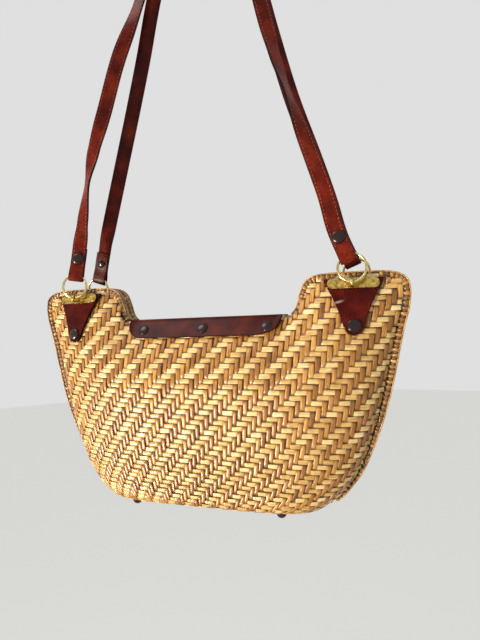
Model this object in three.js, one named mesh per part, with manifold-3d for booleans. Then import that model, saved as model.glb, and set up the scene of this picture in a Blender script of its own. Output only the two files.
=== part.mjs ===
// Straw basket bag hanging by two leather shoulder straps, in millimetres, +Z up.
// The front faces -Y and the bag is as wide as it goes along X.
// The origin is the hanging point, the underside of the straps where both of them cross one hook.
// The bag itself is described from its mouth: height 0 is the top of the binding, up is positive.
import * as THREE from 'three';
import { mergeVertices } from 'three/addons/utils/BufferGeometryUtils.js';
import Module from 'manifold-3d';

const wasm = await Module();
wasm.setup();

// Basket
const HANG_DROP = 430;
const HALF_WIDTH = 160;
const BODY_HEIGHT = 148.5;
const EAR_RISE = 30;
const BULGE_DEPTH = 33;
const BASE_DEPTH = 33;
const RIM_DEPTH = 8;
const STRAW_WALL = 2;
const BASE_EDGE_RADIUS = 5.5;
const BULGE_DROP = 60;
const MOUTH_HALF_LENGTH = 69;
const EAR_BLEND_START = 60;
const EAR_BLEND_END = 105;
const CLEARANCE = 0.3;
const LAID_CLEARANCE = 0.7;

// How the wall swells: exponents of its outline across, at the mouth, at the base and at the seams.
const FULLNESS_AT_MOUTH = 2.4;
const FULLNESS_AT_BASE = 4.8;
const SEAM_ROUNDING = 0.55;
// Limits where the wall slants or pinches: stretch of the edge and of the wall, least half depth.
const EDGE_STRETCH_LIMIT = 1.7;
const WALL_STRETCH_LIMIT = 1.5;
const LEAST_HALF_DEPTH = 1.5;
const SEAM_DRAWN_IN = 0.8;
const SLOPE_STEP = 0.5;

// Rolled edges
const ROLL_WIDTH = 6;
const ROLL_DEPTH = 8;
const ROLL_LOW_WIDTH = 2.6;
const ROLL_LOW_DEPTH = 5;
const ROLL_THINS_FROM = 50;
const ROLL_SPLIT = 1;

// Leather binding of the mouth
const BINDING_LEFT_END = 69;
const BINDING_RIGHT_END = 65;
const BINDING_FRONT_LEG = 14.6;
const BINDING_INNER_LEG = 14;
const BINDING_LEATHER = 1.1;
const BINDING_END_CUT = 12;
const BINDING_LEFT_ROUND = 12;
const BINDING_RIGHT_ROUND = 19;
const BINDING_RIVET_SPACING = 54;
const BINDING_RIVET_DROP = 9.8;

// Leather tabs, each with a brass plate that carries a ring
const RING_SPACING = 240;
const TAB_TOP = 24.2;
const TAB_TIP = -17.7;
const TAB_TOP_WIDTH = 45;
const TAB_TIP_WIDTH = 13;
const TAB_TAPER_END = 0.9;
const TAB_WAIST = 1.6;
const TAB_TIP_FLAT = 0.4;
const TAB_LEATHER = 1.8;
const TAB_RIVET_HEIGHT = -10.8;
const PLATE_HEIGHT = 20.1;
const PLATE_LENGTH = 37.2;
const PLATE_WIDTH = 7.5;
const PLATE_THICKNESS = 1.1;
const PLATE_END_FLAT = 1.1;
const RING_RADIUS = 10.2;
const RING_WIRE = 2;
const LUG_BORE = 3.8;
const LUG_WIRE = 1.3;
const LUG_REACH = 1.4;
const LUG_LENGTH = 2;

// Straps
const STRAP_WIDTH = 12.5;
const STRAP_LEATHER = 1.6;
const STRAP_TAIL = 27;
const STRAP_RIVET_RISE = 17;
const STRAP_STRAIGHT = 24;
const STRAP_SEAT_SLACK = 0.6;
const STRAP_GAP = 0.8;
const FOLD_CLOSES_FROM = 2;
const FOLD_CLOSES_BY = 12;
const TAIL_FADE = 14;
const STRAP_PITCH = 18;
const HOOK_RADIUS = 8;

// Rivets and feet
const RIVET_HEAD = 10;
const BINDING_RIVET_HEAD = 9;
const RIVET_DOME = 1.9;
const DOME_SHOULDER = 0.72;
const RIVET_SHANK = 3;
const RIVET_CAP = 7;
const RIVET_CAP_THICKNESS = 0.9;
const FOOT_SPACING = 124;
const FOOT_SETBACK = 21.5;
const FOOT_WIDTH = 8;
const FOOT_HEIGHT = 4.5;
const FOOT_CAP = 4.4;

// Fineness of the facets
const SILHOUETTE_STEPS = 240;
const SECTION_STEPS = 14;
const ROLL_STEPS = 28;
const ROLL_SIDES = 6;
const TRIM_STEPS = 64;
const RIVET_SIDES = 7;
const RING_SIDES = 6;
const RING_STEPS = 16;
const TAB_COLUMNS = 4;
const PLATE_COLUMNS = 8;
const LUG_STEPS = 12;
const FOLD_STEPS = 5;

// Silhouette from the front, right half: across is a share of HALF_WIDTH.
// A positive rise is a share of EAR_RISE, a negative one a share of BODY_HEIGHT.
const SILHOUETTE = [
  { across: 0.445, rise: 0.02 },
  { across: 0.468, rise: 0.15 },
  { across: 0.488, rise: 0.48 },
  { across: 0.512, rise: 0.78 },
  { across: 0.555, rise: 0.95 },
  { across: 0.64, rise: 1 },
  { across: 0.76, rise: 1 },
  { across: 0.88, rise: 0.98 },
  { across: 0.95, rise: 0.91 },
  { across: 0.988, rise: 0.76 },
  { across: 1, rise: 0.5 },
  { across: 0.993, rise: 0.1 },
  { across: 0.972, rise: -0.067 },
  { across: 0.943, rise: -0.2 },
  { across: 0.911, rise: -0.357 },
  { across: 0.871, rise: -0.512 },
  { across: 0.805, rise: -0.707 },
  { across: 0.757, rise: -0.815 },
  { across: 0.714, rise: -0.88 },
  { across: 0.668, rise: -0.94 },
  { across: 0.628, rise: -0.975 },
];

// Routes of the straps: rise is a share of the way up from the ring to the hook, spread a share of
// half RING_SPACING, turn the angle that the leather's face has turned outward, in degrees.
const STRAP_ROUTES = {
  front_left: [
    { rise: 0.08, spread: 0.96, turn: -20 },
    { rise: 0.14, spread: 0.942, turn: 8 },
    { rise: 0.225, spread: 0.893, turn: 38 },
    { rise: 0.3, spread: 0.828, turn: 0 },
    { rise: 0.38, spread: 0.73, turn: -34 },
    { rise: 0.49, spread: 0.6, turn: -28 },
    { rise: 0.6, spread: 0.42, turn: 15 },
    { rise: 0.8, spread: 0.17, turn: 60 },
    { rise: 0.93, spread: 0.05, turn: 86 },
  ],
  front_right: [
    { rise: 0.08, spread: 0.9, turn: 0 },
    { rise: 0.14, spread: 0.855, turn: 4 },
    { rise: 0.23, spread: 0.76, turn: 28 },
    { rise: 0.35, spread: 0.63, turn: 74 },
    { rise: 0.42, spread: 0.56, turn: 58 },
    { rise: 0.5, spread: 0.5, turn: 28 },
    { rise: 0.6, spread: 0.42, turn: 34 },
    { rise: 0.8, spread: 0.18, turn: 66 },
    { rise: 0.93, spread: 0.055, turn: 86 },
  ],
  back_left: [
    { rise: 0.08, spread: 0.91, turn: 0 },
    { rise: 0.15, spread: 0.84, turn: -30 },
    { rise: 0.27, spread: 0.72, turn: -34 },
    { rise: 0.4, spread: 0.59, turn: -34 },
    { rise: 0.51, spread: 0.485, turn: -34 },
    { rise: 0.62, spread: 0.39, turn: -40 },
    { rise: 0.8, spread: 0.2, turn: -66 },
    { rise: 0.93, spread: 0.06, turn: -86 },
  ],
  back_right: [
    { rise: 0.08, spread: 0.9, turn: 0 },
    { rise: 0.14, spread: 0.85, turn: 8 },
    { rise: 0.23, spread: 0.76, turn: 10 },
    { rise: 0.36, spread: 0.62, turn: 10 },
    { rise: 0.5, spread: 0.5, turn: 4 },
    { rise: 0.6, spread: 0.42, turn: -10 },
    { rise: 0.8, spread: 0.2, turn: -60 },
    { rise: 0.93, spread: 0.06, turn: -86 },
  ],
};

// How each ring stands in its lug, in degrees: turn about the vertical, lean towards the hook.
const RING_STANDS = {
  front_left: { turn: 20, lean: 4 },
  front_right: { turn: 0, lean: 4 },
  back_left: { turn: 0, lean: 11 },
  back_right: { turn: 0, lean: 11 },
};

// Level sections of the wall, as shares of the base's edge radius, of the body and of the ears.
const BASE_SECTIONS = [0, 0.09, 0.3, 0.62, 1];
const BODY_SECTIONS = [0.84, 0.7, 0.56, 0.43, 0.32, 0.22, 0.14, 0.085, 0.045, 0.01];
const EAR_SECTIONS = [0.16, 0.4, 0.65, 0.9];

// Stations along the binding, as shares of the way to each end, and across it, down each leg.
const BINDING_COLUMNS = [-1, -0.975, -0.93, -0.85, -0.6, -0.3, 0, 0.3, 0.6, 0.85, 0.93, 0.975, 1];
const BINDING_ROWS = [
  { leg: 'front', down: 1 },
  { leg: 'front', down: 0.5 },
  { leg: 'front', down: 0.03, fold: true },
  { leg: 'inner', down: 0.03, fold: true },
  { leg: 'inner', down: 0.5 },
  { leg: 'inner', down: 1 },
];

// Rows of a tab from its top to its tip, as shares of its height.
const TAB_ROWS = [0, 0.2, 0.42, 0.64, 0.82, 0.91, 0.97, 1];

// Stations of a strap near its folded end and before the hook, and its turns round the hook.
const FOLD_STATIONS = [3, 7, 12];
const TAIL_STEP = 7;
const APEX_STATIONS = [20, 13, 8, 4, 0];
const HOOK_TURNS = [62, 32, 0];

const CORNERS = [
  { name: 'front_left', front: 1, side: -1 },
  { name: 'front_right', front: 1, side: 1 },
  { name: 'back_left', front: -1, side: -1 },
  { name: 'back_right', front: -1, side: 1 },
];

const material = (color, roughness, metalness) =>
  new THREE.MeshStandardMaterial({ color, roughness, metalness, flatShading: true });
const STRAW = material('#d9a860', 0.55, 0);
const STRAW_EDGE = material('#c2904a', 0.6, 0);
const LEATHER = material('#6b1a12', 0.3, 0);
const BRASS = material('#b09a50', 0.35, 1);
const DARK_METAL = material('#2a1412', 0.3, 0.8);

// Solids

function geometryFrom(points, triangles) {
  const geometry = new THREE.BufferGeometry();
  const flat = points.flatMap((point) => [point.x, point.y, point.z]);
  geometry.setAttribute('position', new THREE.Float32BufferAttribute(flat, 3));
  geometry.setIndex(triangles.flat());
  return signedVolume(points, triangles) < 0 ? turnedInsideOut(geometry) : geometry;
}

function signedVolume(points, triangles) {
  const cross = new THREE.Vector3();
  return triangles.reduce((sum, [a, b, c]) =>
    sum + cross.crossVectors(points[b], points[c]).dot(points[a]) / 6, 0);
}

function turnedInsideOut(geometry) {
  geometry.setIndex(Array.from(geometry.index.array).reverse());
  return geometry;
}

// Closed skin over rings of equal point counts, with a fan over the first and the last ring.
function loftSolid(rings) {
  const count = rings[0].length;
  const points = rings.flat();
  const triangles = [];
  for (let ring = 0; ring + 1 < rings.length; ring += 1) {
    for (let i = 0; i < count; i += 1) {
      const a = ring * count + i;
      const b = ring * count + (i + 1) % count;
      triangles.push([a, b, b + count], [a, b + count, a + count]);
    }
  }
  for (const [start, flip] of [[0, true], [(rings.length - 1) * count, false]]) {
    for (let i = 1; i + 1 < count; i += 1) {
      triangles.push(flip ? [start, start + i + 1, start + i] : [start, start + i, start + i + 1]);
    }
  }
  return geometryFrom(points, triangles);
}

// A bent plate: inner(row, column) and outer(row, column) give its two faces.
function sheetSolid(rows, columns, inner, outer) {
  const points = [];
  const triangles = [];
  for (const face of [inner, outer]) {
    for (let row = 0; row <= rows; row += 1) {
      for (let column = 0; column <= columns; column += 1) points.push(face(row, column));
    }
  }
  const index = (side, row, column) => (side * (rows + 1) + row) * (columns + 1) + column;
  const quad = (a, b, c, d) => triangles.push([a, b, c], [a, c, d]);
  for (let row = 0; row < rows; row += 1) {
    for (let column = 0; column < columns; column += 1) {
      quad(index(0, row, column), index(0, row, column + 1),
        index(0, row + 1, column + 1), index(0, row + 1, column));
      quad(index(1, row, column), index(1, row + 1, column),
        index(1, row + 1, column + 1), index(1, row, column + 1));
    }
    quad(index(0, row, 0), index(0, row + 1, 0), index(1, row + 1, 0), index(1, row, 0));
    quad(index(0, row, columns), index(1, row, columns),
      index(1, row + 1, columns), index(0, row + 1, columns));
  }
  for (let column = 0; column < columns; column += 1) {
    quad(index(0, 0, column), index(1, 0, column), index(1, 0, column + 1), index(0, 0, column + 1));
    quad(index(0, rows, column), index(0, rows, column + 1),
      index(1, rows, column + 1), index(1, rows, column));
  }
  return geometryFrom(points, triangles);
}

function welded(geometry) {
  const bare = geometry.clone();
  bare.deleteAttribute('normal');
  bare.deleteAttribute('uv');
  return mergeVertices(bare, 1e-4);
}

function toManifold(geometry) {
  const solid = welded(geometry);
  return new wasm.Manifold(new wasm.Mesh({
    numProp: 3,
    vertProperties: new Float32Array(solid.attributes.position.array),
    triVerts: new Uint32Array(solid.index.array),
  }));
}

function fromManifold(solid) {
  const mesh = solid.getMesh();
  const geometry = new THREE.BufferGeometry();
  geometry.setAttribute('position', new THREE.BufferAttribute(mesh.vertProperties, 3));
  geometry.setIndex(new THREE.BufferAttribute(mesh.triVerts, 1));
  return geometry;
}

function withHoles(geometry, holes) {
  let solid = toManifold(geometry);
  for (const hole of holes) solid = solid.subtract(toManifold(hole));
  return fromManifold(solid);
}

// Shape of the woven wall

const riseToHeight = (rise) => rise * (rise > 0 ? EAR_RISE : BODY_HEIGHT);

const silhouettePath = new THREE.CatmullRomCurve3(
  SILHOUETTE.map((row) => new THREE.Vector3(row.across * HALF_WIDTH, 0, riseToHeight(row.rise))),
  false, 'centripetal');

const silhouettePoints = silhouettePath.getPoints(SILHOUETTE_STEPS);
const widest = silhouettePoints.reduce((best, point, i) => (
  point.x > silhouettePoints[best].x ? i : best), 0);
const sidePoints = silhouettePoints.slice(widest);

// Half width of the silhouette at a height, straight up above the ears' widest point.
function halfWidth(height) {
  if (height >= sidePoints[0].z) return sidePoints[0].x;
  const next = sidePoints.findIndex((point) => point.z <= height);
  if (next < 1) {
    const [a, b] = sidePoints.slice(-2);
    return b.x + (height - b.z) * (b.x - a.x) / (b.z - a.z);
  }
  const [above, below] = [sidePoints[next - 1], sidePoints[next]];
  return THREE.MathUtils.mapLinear(height, above.z, below.z, above.x, below.x);
}

// The rolled edge thins on its way down the side.
const rollThinned = (height) =>
  THREE.MathUtils.smoothstep(-height, ROLL_THINS_FROM, BODY_HEIGHT);
const rollWidth = (height) =>
  THREE.MathUtils.lerp(ROLL_WIDTH, ROLL_LOW_WIDTH, rollThinned(height));
const rollDepth = (height) =>
  THREE.MathUtils.lerp(ROLL_DEPTH, ROLL_LOW_DEPTH, rollThinned(height));

// The wall ends inside the rolled edge, whose width is measured square to the silhouette.
function wallHalfWidth(height) {
  const slope = (halfWidth(height + SLOPE_STEP) - halfWidth(height - SLOPE_STEP)) / (2 * SLOPE_STEP);
  const stretch = Math.min(Math.hypot(1, slope), EDGE_STRETCH_LIMIT);
  return halfWidth(height) - (rollWidth(height) + LAID_CLEARANCE) * stretch;
}

const earTop = (x) =>
  EAR_RISE * THREE.MathUtils.smoothstep(Math.abs(x), EAR_BLEND_START, EAR_BLEND_END);

// Half depth of the wall's outer face: it swells from the rim downward and thins to the side seams.
function wallDepth(x, height) {
  const top = earTop(x);
  const down = THREE.MathUtils.clamp((top - height) / (top + BULGE_DROP), 0, 1);
  const swell = Math.sin(down * Math.PI / 2);
  const low = THREE.MathUtils.clamp((-height - BULGE_DROP) / (BODY_HEIGHT - BULGE_DROP), 0, 1);
  const across = THREE.MathUtils.clamp(Math.abs(x) / wallHalfWidth(height), 0, 1);
  const fullness = THREE.MathUtils.lerp(FULLNESS_AT_MOUTH, FULLNESS_AT_BASE,
    THREE.MathUtils.clamp(-height / BODY_HEIGHT, 0, 1));
  const lens = (1 - across ** fullness) ** SEAM_ROUNDING;
  return RIM_DEPTH + (THREE.MathUtils.lerp(BULGE_DEPTH, BASE_DEPTH, low) - RIM_DEPTH) * swell * lens;
}

// Point on the front wall's outer face, or off it along its normal, with that normal.
function wallPoint(x, height, off = 0, front = 1) {
  const step = SLOPE_STEP;
  const slopeX = (wallDepth(x + step, height) - wallDepth(x - step, height)) / (2 * step);
  const slopeZ = (wallDepth(x, height + step) - wallDepth(x, height - step)) / (2 * step);
  const normal = new THREE.Vector3(-slopeX, -1, -slopeZ).normalize();
  const point = new THREE.Vector3(x, -wallDepth(x, height), height).addScaledVector(normal, off);
  if (front < 0) {
    point.y *= -1;
    normal.y *= -1;
  }
  return { point, normal };
}

// How far the base's rounded edge draws the wall in at a height.
function baseInset(height, radius) {
  const above = height + BODY_HEIGHT;
  if (above >= radius) return 0;
  return radius - Math.sqrt(Math.max(radius ** 2 - (radius - above) ** 2, 0));
}

// One level section of the basket as a closed ring, drawn in by a wall thickness.
function basketRing(height, inset, thickness) {
  const reach = wallHalfWidth(height) - inset - thickness;
  const front = [];
  for (let i = 0; i <= SECTION_STEPS; i += 1) {
    const x = reach * Math.sin(Math.PI * (i / SECTION_STEPS - 0.5));
    const above = wallDepth(x, height + SLOPE_STEP);
    const below = wallDepth(x, height - SLOPE_STEP);
    const stretch = Math.min(Math.hypot(1, (above - below) / (2 * SLOPE_STEP)), WALL_STRETCH_LIMIT);
    const depth = wallDepth(x, height) - thickness * stretch;
    const drawn = Math.max(inset * depth / BULGE_DEPTH, inset * SEAM_DRAWN_IN);
    front.push(new THREE.Vector3(x, -Math.max(depth - drawn, LEAST_HALF_DEPTH), height));
  }
  const back = front.map((point) => new THREE.Vector3(point.x, -point.y, point.z)).reverse();
  return [...front, ...back];
}

// Heights of the level sections: close together where the wall turns, at the mouth and the base.
function sectionHeights(low, high) {
  return [
    ...BASE_SECTIONS.map((share) => low + share * BASE_EDGE_RADIUS),
    ...BODY_SECTIONS.map((share) => -share * BODY_HEIGHT),
    ...EAR_SECTIONS.map((share) => share * EAR_RISE),
    high,
  ];
}

// The outline that the wall is trimmed to, inside the rolled edge, along the mouth and both ears.
function trimPrism() {
  const inset = ROLL_WIDTH + LAID_CLEARANCE;
  const right = [];
  for (let i = 0; i <= TRIM_STEPS; i += 1) {
    const point = silhouettePath.getPoint(i / TRIM_STEPS);
    const tangent = silhouettePath.getTangent(i / TRIM_STEPS);
    right.push(new THREE.Vector2(point.x + inset * tangent.z, point.z - inset * tangent.x));
  }
  const kept = right.filter((point) => point.y > 0 && point.x > MOUTH_HALF_LENGTH);
  const low = -BODY_HEIGHT - EAR_RISE;
  const half = [
    new THREE.Vector2(MOUTH_HALF_LENGTH + CLEARANCE, -BINDING_LEATHER - CLEARANCE),
    ...kept,
    new THREE.Vector2(HALF_WIDTH, kept[kept.length - 1].y),
    new THREE.Vector2(HALF_WIDTH, low),
  ];
  const mirrored = half.map((point) => new THREE.Vector2(-point.x, point.y)).reverse();
  const prism = new THREE.ExtrudeGeometry(new THREE.Shape([...half, ...mirrored]),
    { depth: 4 * BULGE_DEPTH, bevelEnabled: false });
  prism.translate(0, 0, -2 * BULGE_DEPTH);
  return prism.rotateX(Math.PI / 2);
}

// Rivets and feet, made standing on z = 0 with the head up and the shank down

function rivetGeometry(head, dome, grip, cap = RIVET_CAP) {
  const profile = [
    [0, dome], [DOME_SHOULDER * head / 2, DOME_SHOULDER * dome], [head / 2, 0], [RIVET_SHANK / 2, 0],
    [RIVET_SHANK / 2, -grip], [cap / 2, -grip], [cap / 2, -grip - RIVET_CAP_THICKNESS],
    [0, -grip - RIVET_CAP_THICKNESS],
  ].map(([radius, z]) => new THREE.Vector2(radius, z));
  return new THREE.LatheGeometry(profile.reverse(), RIVET_SIDES).rotateX(Math.PI / 2);
}

function rivetHole(length) {
  const radius = RIVET_SHANK / 2 + CLEARANCE;
  return new THREE.CylinderGeometry(radius, radius, length, RIVET_SIDES).rotateX(Math.PI / 2);
}

function standAt(geometry, point, normal) {
  const turn = new THREE.Quaternion().setFromUnitVectors(new THREE.Vector3(0, 0, 1), normal);
  return geometry.applyQuaternion(turn).translate(point.x, point.y, point.z);
}

const wallHole = (x, height, front) => {
  const { point, normal } = wallPoint(x, height, 0, front);
  return standAt(rivetHole(4 * STRAW_WALL), point, normal);
};

const tabRivetPlaces = CORNERS.map(({ front, side }) => ({ front, x: side * RING_SPACING / 2 }));
const bindingRivetColumns = [-1, 0, 1].map((step) => step * BINDING_RIVET_SPACING);
const feet = CORNERS.map(({ name, front, side }) => ({
  name,
  point: new THREE.Vector3(side * FOOT_SPACING / 2, -front * FOOT_SETBACK, -BODY_HEIGHT),
}));

// Pieces

function basketShell() {
  const outer = loftSolid(sectionHeights(-BODY_HEIGHT, EAR_RISE + 2)
    .map((height) => basketRing(height, baseInset(height, BASE_EDGE_RADIUS), 0)));
  const cavity = loftSolid(sectionHeights(STRAW_WALL - BODY_HEIGHT, EAR_RISE + 4)
    .map((height) => basketRing(height, baseInset(height - STRAW_WALL, BASE_EDGE_RADIUS), STRAW_WALL)));
  const holes = [
    ...tabRivetPlaces.map(({ x, front }) => wallHole(x, TAB_RIVET_HEIGHT, front)),
    ...[1, -1].flatMap((front) =>
      bindingRivetColumns.map((x) => wallHole(x, -BINDING_RIVET_DROP, front))),
    ...feet.map(({ point }) => rivetHole(4 * STRAW_WALL).translate(point.x, point.y, point.z)),
  ];
  const trimmed = toManifold(outer).intersect(toManifold(trimPrism())).subtract(toManifold(cavity));
  return holes.reduce((solid, hole) => solid.subtract(toManifold(hole)), trimmed);
}

function edgeRoll(front, side) {
  const rings = [];
  for (let i = 0; i <= ROLL_STEPS; i += 1) {
    const point = silhouettePath.getPoint(i / ROLL_STEPS);
    const tangent = silhouettePath.getTangent(i / ROLL_STEPS);
    const inward = new THREE.Vector3(tangent.z, 0, -tangent.x);
    const halfWide = rollWidth(point.z) / 2;
    const halfDeep = rollDepth(point.z) / 2;
    const centre = point.clone().addScaledVector(inward, halfWide);
    const centreY = -front * (ROLL_SPLIT / 2 + halfDeep);
    const ring = [];
    for (let k = 0; k < ROLL_SIDES; k += 1) {
      const angle = k * 2 * Math.PI / ROLL_SIDES;
      const at = centre.clone().addScaledVector(inward, halfWide * Math.cos(angle));
      at.y = centreY + halfDeep * Math.sin(angle) / Math.cos(Math.PI / ROLL_SIDES);
      at.x *= side;
      ring.push(at);
    }
    rings.push(ring);
  }
  return loftSolid(rings);
}

// Folded leather over the rim of the wall: front leg, fold, inner leg.
function bindingGeometry(front) {
  const rim = -BINDING_LEATHER - CLEARANCE;
  const face = (off) => (row, column) => {
    const { leg, down, fold } = BINDING_ROWS[row];
    const share = BINDING_COLUMNS[column];
    const x = share * (share < 0 ? BINDING_LEFT_END : BINDING_RIGHT_END);
    const fromEnd = (share < 0 ? BINDING_LEFT_END : BINDING_RIGHT_END) - Math.abs(x);
    const lost = Math.max(1 - fromEnd / (share < 0 ? BINDING_LEFT_ROUND : BINDING_RIGHT_ROUND), 0);
    const arc = BINDING_END_CUT * (1 - Math.sqrt(1 - lost ** 2));
    const length = leg === 'front' ? BINDING_FRONT_LEG - arc : BINDING_INNER_LEG;
    const height = rim - down * length;
    const { point, normal } = leg === 'front'
      ? wallPoint(x, height, LAID_CLEARANCE + off, front)
      : wallPoint(x, height, -STRAW_WALL - LAID_CLEARANCE - off, front);
    if (fold) {
      const rise = rim + CLEARANCE + off - point.z;
      point.y += front * rise * normal.z / Math.abs(normal.y);
      point.z += rise;
    }
    return point;
  };
  return sheetSolid(BINDING_ROWS.length - 1, BINDING_COLUMNS.length - 1, face(0), face(BINDING_LEATHER));
}

// Tab outline: half width at a share of the way down, flaring to the top, with a round tip.
function tabHalfWidth(share) {
  const tapered = Math.min(share / TAB_TAPER_END, 1);
  const waist = TAB_WAIST * Math.sin(Math.PI * tapered);
  const side = THREE.MathUtils.lerp(TAB_TOP_WIDTH, TAB_TIP_WIDTH, tapered) / 2 - waist;
  const toTip = (1 - share) * (TAB_TOP - TAB_TIP);
  const tipRadius = TAB_TIP_WIDTH / 2;
  if (toTip >= tipRadius) return side;
  return Math.min(side, Math.sqrt(tipRadius ** 2 - (tipRadius - toTip) ** 2) + TAB_TIP_FLAT);
}

function tabGeometry(front, side) {
  const face = (off) => (row, column) => {
    const share = TAB_ROWS[row];
    const x = side * RING_SPACING / 2 + tabHalfWidth(share) * (2 * column / TAB_COLUMNS - 1);
    return wallPoint(x, THREE.MathUtils.lerp(TAB_TOP, TAB_TIP, share), LAID_CLEARANCE + off, front).point;
  };
  const leather = sheetSolid(TAB_ROWS.length - 1, TAB_COLUMNS, face(0), face(TAB_LEATHER));
  return withHoles(leather, [wallHole(side * RING_SPACING / 2, TAB_RIVET_HEIGHT, front)]);
}

const plateBottom = LAID_CLEARANCE + TAB_LEATHER + CLEARANCE;

// Where a ring's wire passes through the lug on its plate.
function lugPlace(front, side) {
  const place = wallPoint(side * RING_SPACING / 2, PLATE_HEIGHT, plateBottom + PLATE_THICKNESS, front);
  place.point.y -= front * (LUG_BORE / 2 + LUG_WIRE) * LUG_REACH;
  place.point.y += front * CLEARANCE;
  return place.point;
}

function plateGeometry(front, side) {
  const round = PLATE_WIDTH / 2;
  const face = (off) => (row, column) => {
    const along = PLATE_LENGTH * (column / PLATE_COLUMNS - 0.5);
    const end = Math.max(round - (PLATE_LENGTH / 2 - Math.abs(along)), 0);
    const half = Math.max(Math.sqrt(round ** 2 - end ** 2), PLATE_END_FLAT);
    const height = PLATE_HEIGHT + half * (2 * row - 1);
    return wallPoint(side * RING_SPACING / 2 + along, height, plateBottom + off, front).point;
  };
  const plate = toManifold(sheetSolid(1, PLATE_COLUMNS, face(0), face(PLATE_THICKNESS)));
  const bore = LUG_BORE / 2;
  const rim = bore + LUG_WIRE;
  const lug = new THREE.LatheGeometry([
    new THREE.Vector2(bore, -LUG_LENGTH / 2), new THREE.Vector2(rim, -LUG_LENGTH / 2),
    new THREE.Vector2(rim, LUG_LENGTH / 2), new THREE.Vector2(bore, LUG_LENGTH / 2),
    new THREE.Vector2(bore, -LUG_LENGTH / 2),
  ], LUG_STEPS).rotateZ(Math.PI / 2).scale(1, LUG_REACH, 1);
  const { x, y, z } = lugPlace(front, side);
  return fromManifold(plate.add(toManifold(lug.translate(x, y, z))));
}

// A ring's centre and its plane: the wire rests on the top of the lug's bore.
function ringFrame({ name, front, side }) {
  const { turn, lean } = RING_STANDS[name];
  const seat = lugPlace(front, side);
  seat.z += (LUG_BORE - RING_WIRE) / 2 - CLEARANCE;
  const rotation = new THREE.Euler(THREE.MathUtils.degToRad(-front * lean), 0,
    THREE.MathUtils.degToRad(turn), 'ZXY');
  const up = new THREE.Vector3(0, 0, 1).applyEuler(rotation);
  const plane = new THREE.Vector3(0, 1, 0).applyEuler(rotation);
  return { rotation, plane, centre: seat.addScaledVector(up, RING_RADIUS) };
}

function ringMesh(corner) {
  const { rotation, centre } = ringFrame(corner);
  const torus = new THREE.TorusGeometry(RING_RADIUS, RING_WIRE / 2, RING_SIDES, RING_STEPS)
    .rotateX(Math.PI / 2);
  const mesh = new THREE.Mesh(welded(torus), BRASS);
  mesh.position.copy(centre);
  mesh.rotation.copy(rotation);
  return mesh;
}

// Straps

const strapSeat = Math.sqrt(RING_RADIUS ** 2 - (STRAP_WIDTH / 2) ** 2) - STRAP_SEAT_SLACK;
const foldRadius = RING_WIRE / 2 + CLEARANCE + STRAP_LEATHER / 2;
const apexHeight = HANG_DROP + STRAP_LEATHER / 2;

// One branch of a strap, from its ring to the hook: frameAt gives place, face normal and direction.
function strapBranch(corner) {
  const rows = STRAP_ROUTES[corner.name];
  const { centre, plane } = ringFrame(corner);
  const topY = -corner.front * (STRAP_WIDTH + STRAP_GAP) / 2;
  const way = apexHeight - centre.z;
  const route = rows.map(({ rise, spread }) => new THREE.Vector3(
    corner.side * spread * RING_SPACING / 2, centre.y, centre.z + rise * way));
  const pull = route[0].clone().sub(centre).projectOnPlane(plane).normalize();
  const foot = centre.clone().addScaledVector(pull, strapSeat);
  const free = foot.clone().addScaledVector(pull, STRAP_STRAIGHT);
  for (const point of route) {
    point.y = THREE.MathUtils.mapLinear(point.z, free.z, route[route.length - 1].z, free.y, topY);
  }
  const points = [foot, free, ...route.slice(1)];
  for (const angle of HOOK_TURNS) {
    const turn = THREE.MathUtils.degToRad(angle);
    const radius = HOOK_RADIUS + STRAP_LEATHER / 2;
    points.push(new THREE.Vector3(corner.side * radius * Math.sin(turn), topY,
      HANG_DROP - HOOK_RADIUS + radius * Math.cos(turn)));
  }
  const curve = new THREE.CatmullRomCurve3(points, false, 'centripetal');
  const total = curve.getLength();
  const turnAt = (height) => {
    const rise = (height - centre.z) / way;
    const next = rows.findIndex((row) => row.rise >= rise);
    if (next === 0) return rows[0].turn;
    const last = rows[rows.length - 1];
    const overHook = { rise: 1, turn: 90 * Math.sign(last.turn) };
    const [a, b] = next < 0 ? [last, overHook] : [rows[next - 1], rows[next]];
    return THREE.MathUtils.lerp(a.turn, b.turn, THREE.MathUtils.smoothstep(rise, a.rise, b.rise));
  };
  const frameAt = (length) => {
    const point = curve.getPointAt(length / total);
    const up = curve.getTangentAt(length / total);
    const faced = new THREE.Vector3(0, -1, 0).projectOnPlane(up).normalize();
    faced.applyAxisAngle(up, THREE.MathUtils.degToRad(corner.side * turnAt(point.z)));
    const loose = THREE.MathUtils.smoothstep(length, STRAP_STRAIGHT, 2 * STRAP_STRAIGHT);
    faced.multiplyScalar(loose).addScaledVector(plane, loose - 1);
    const normal = faced.projectOnPlane(up).normalize().multiplyScalar(corner.front);
    return { point, normal, up };
  };
  return { total, frameAt };
}

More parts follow.
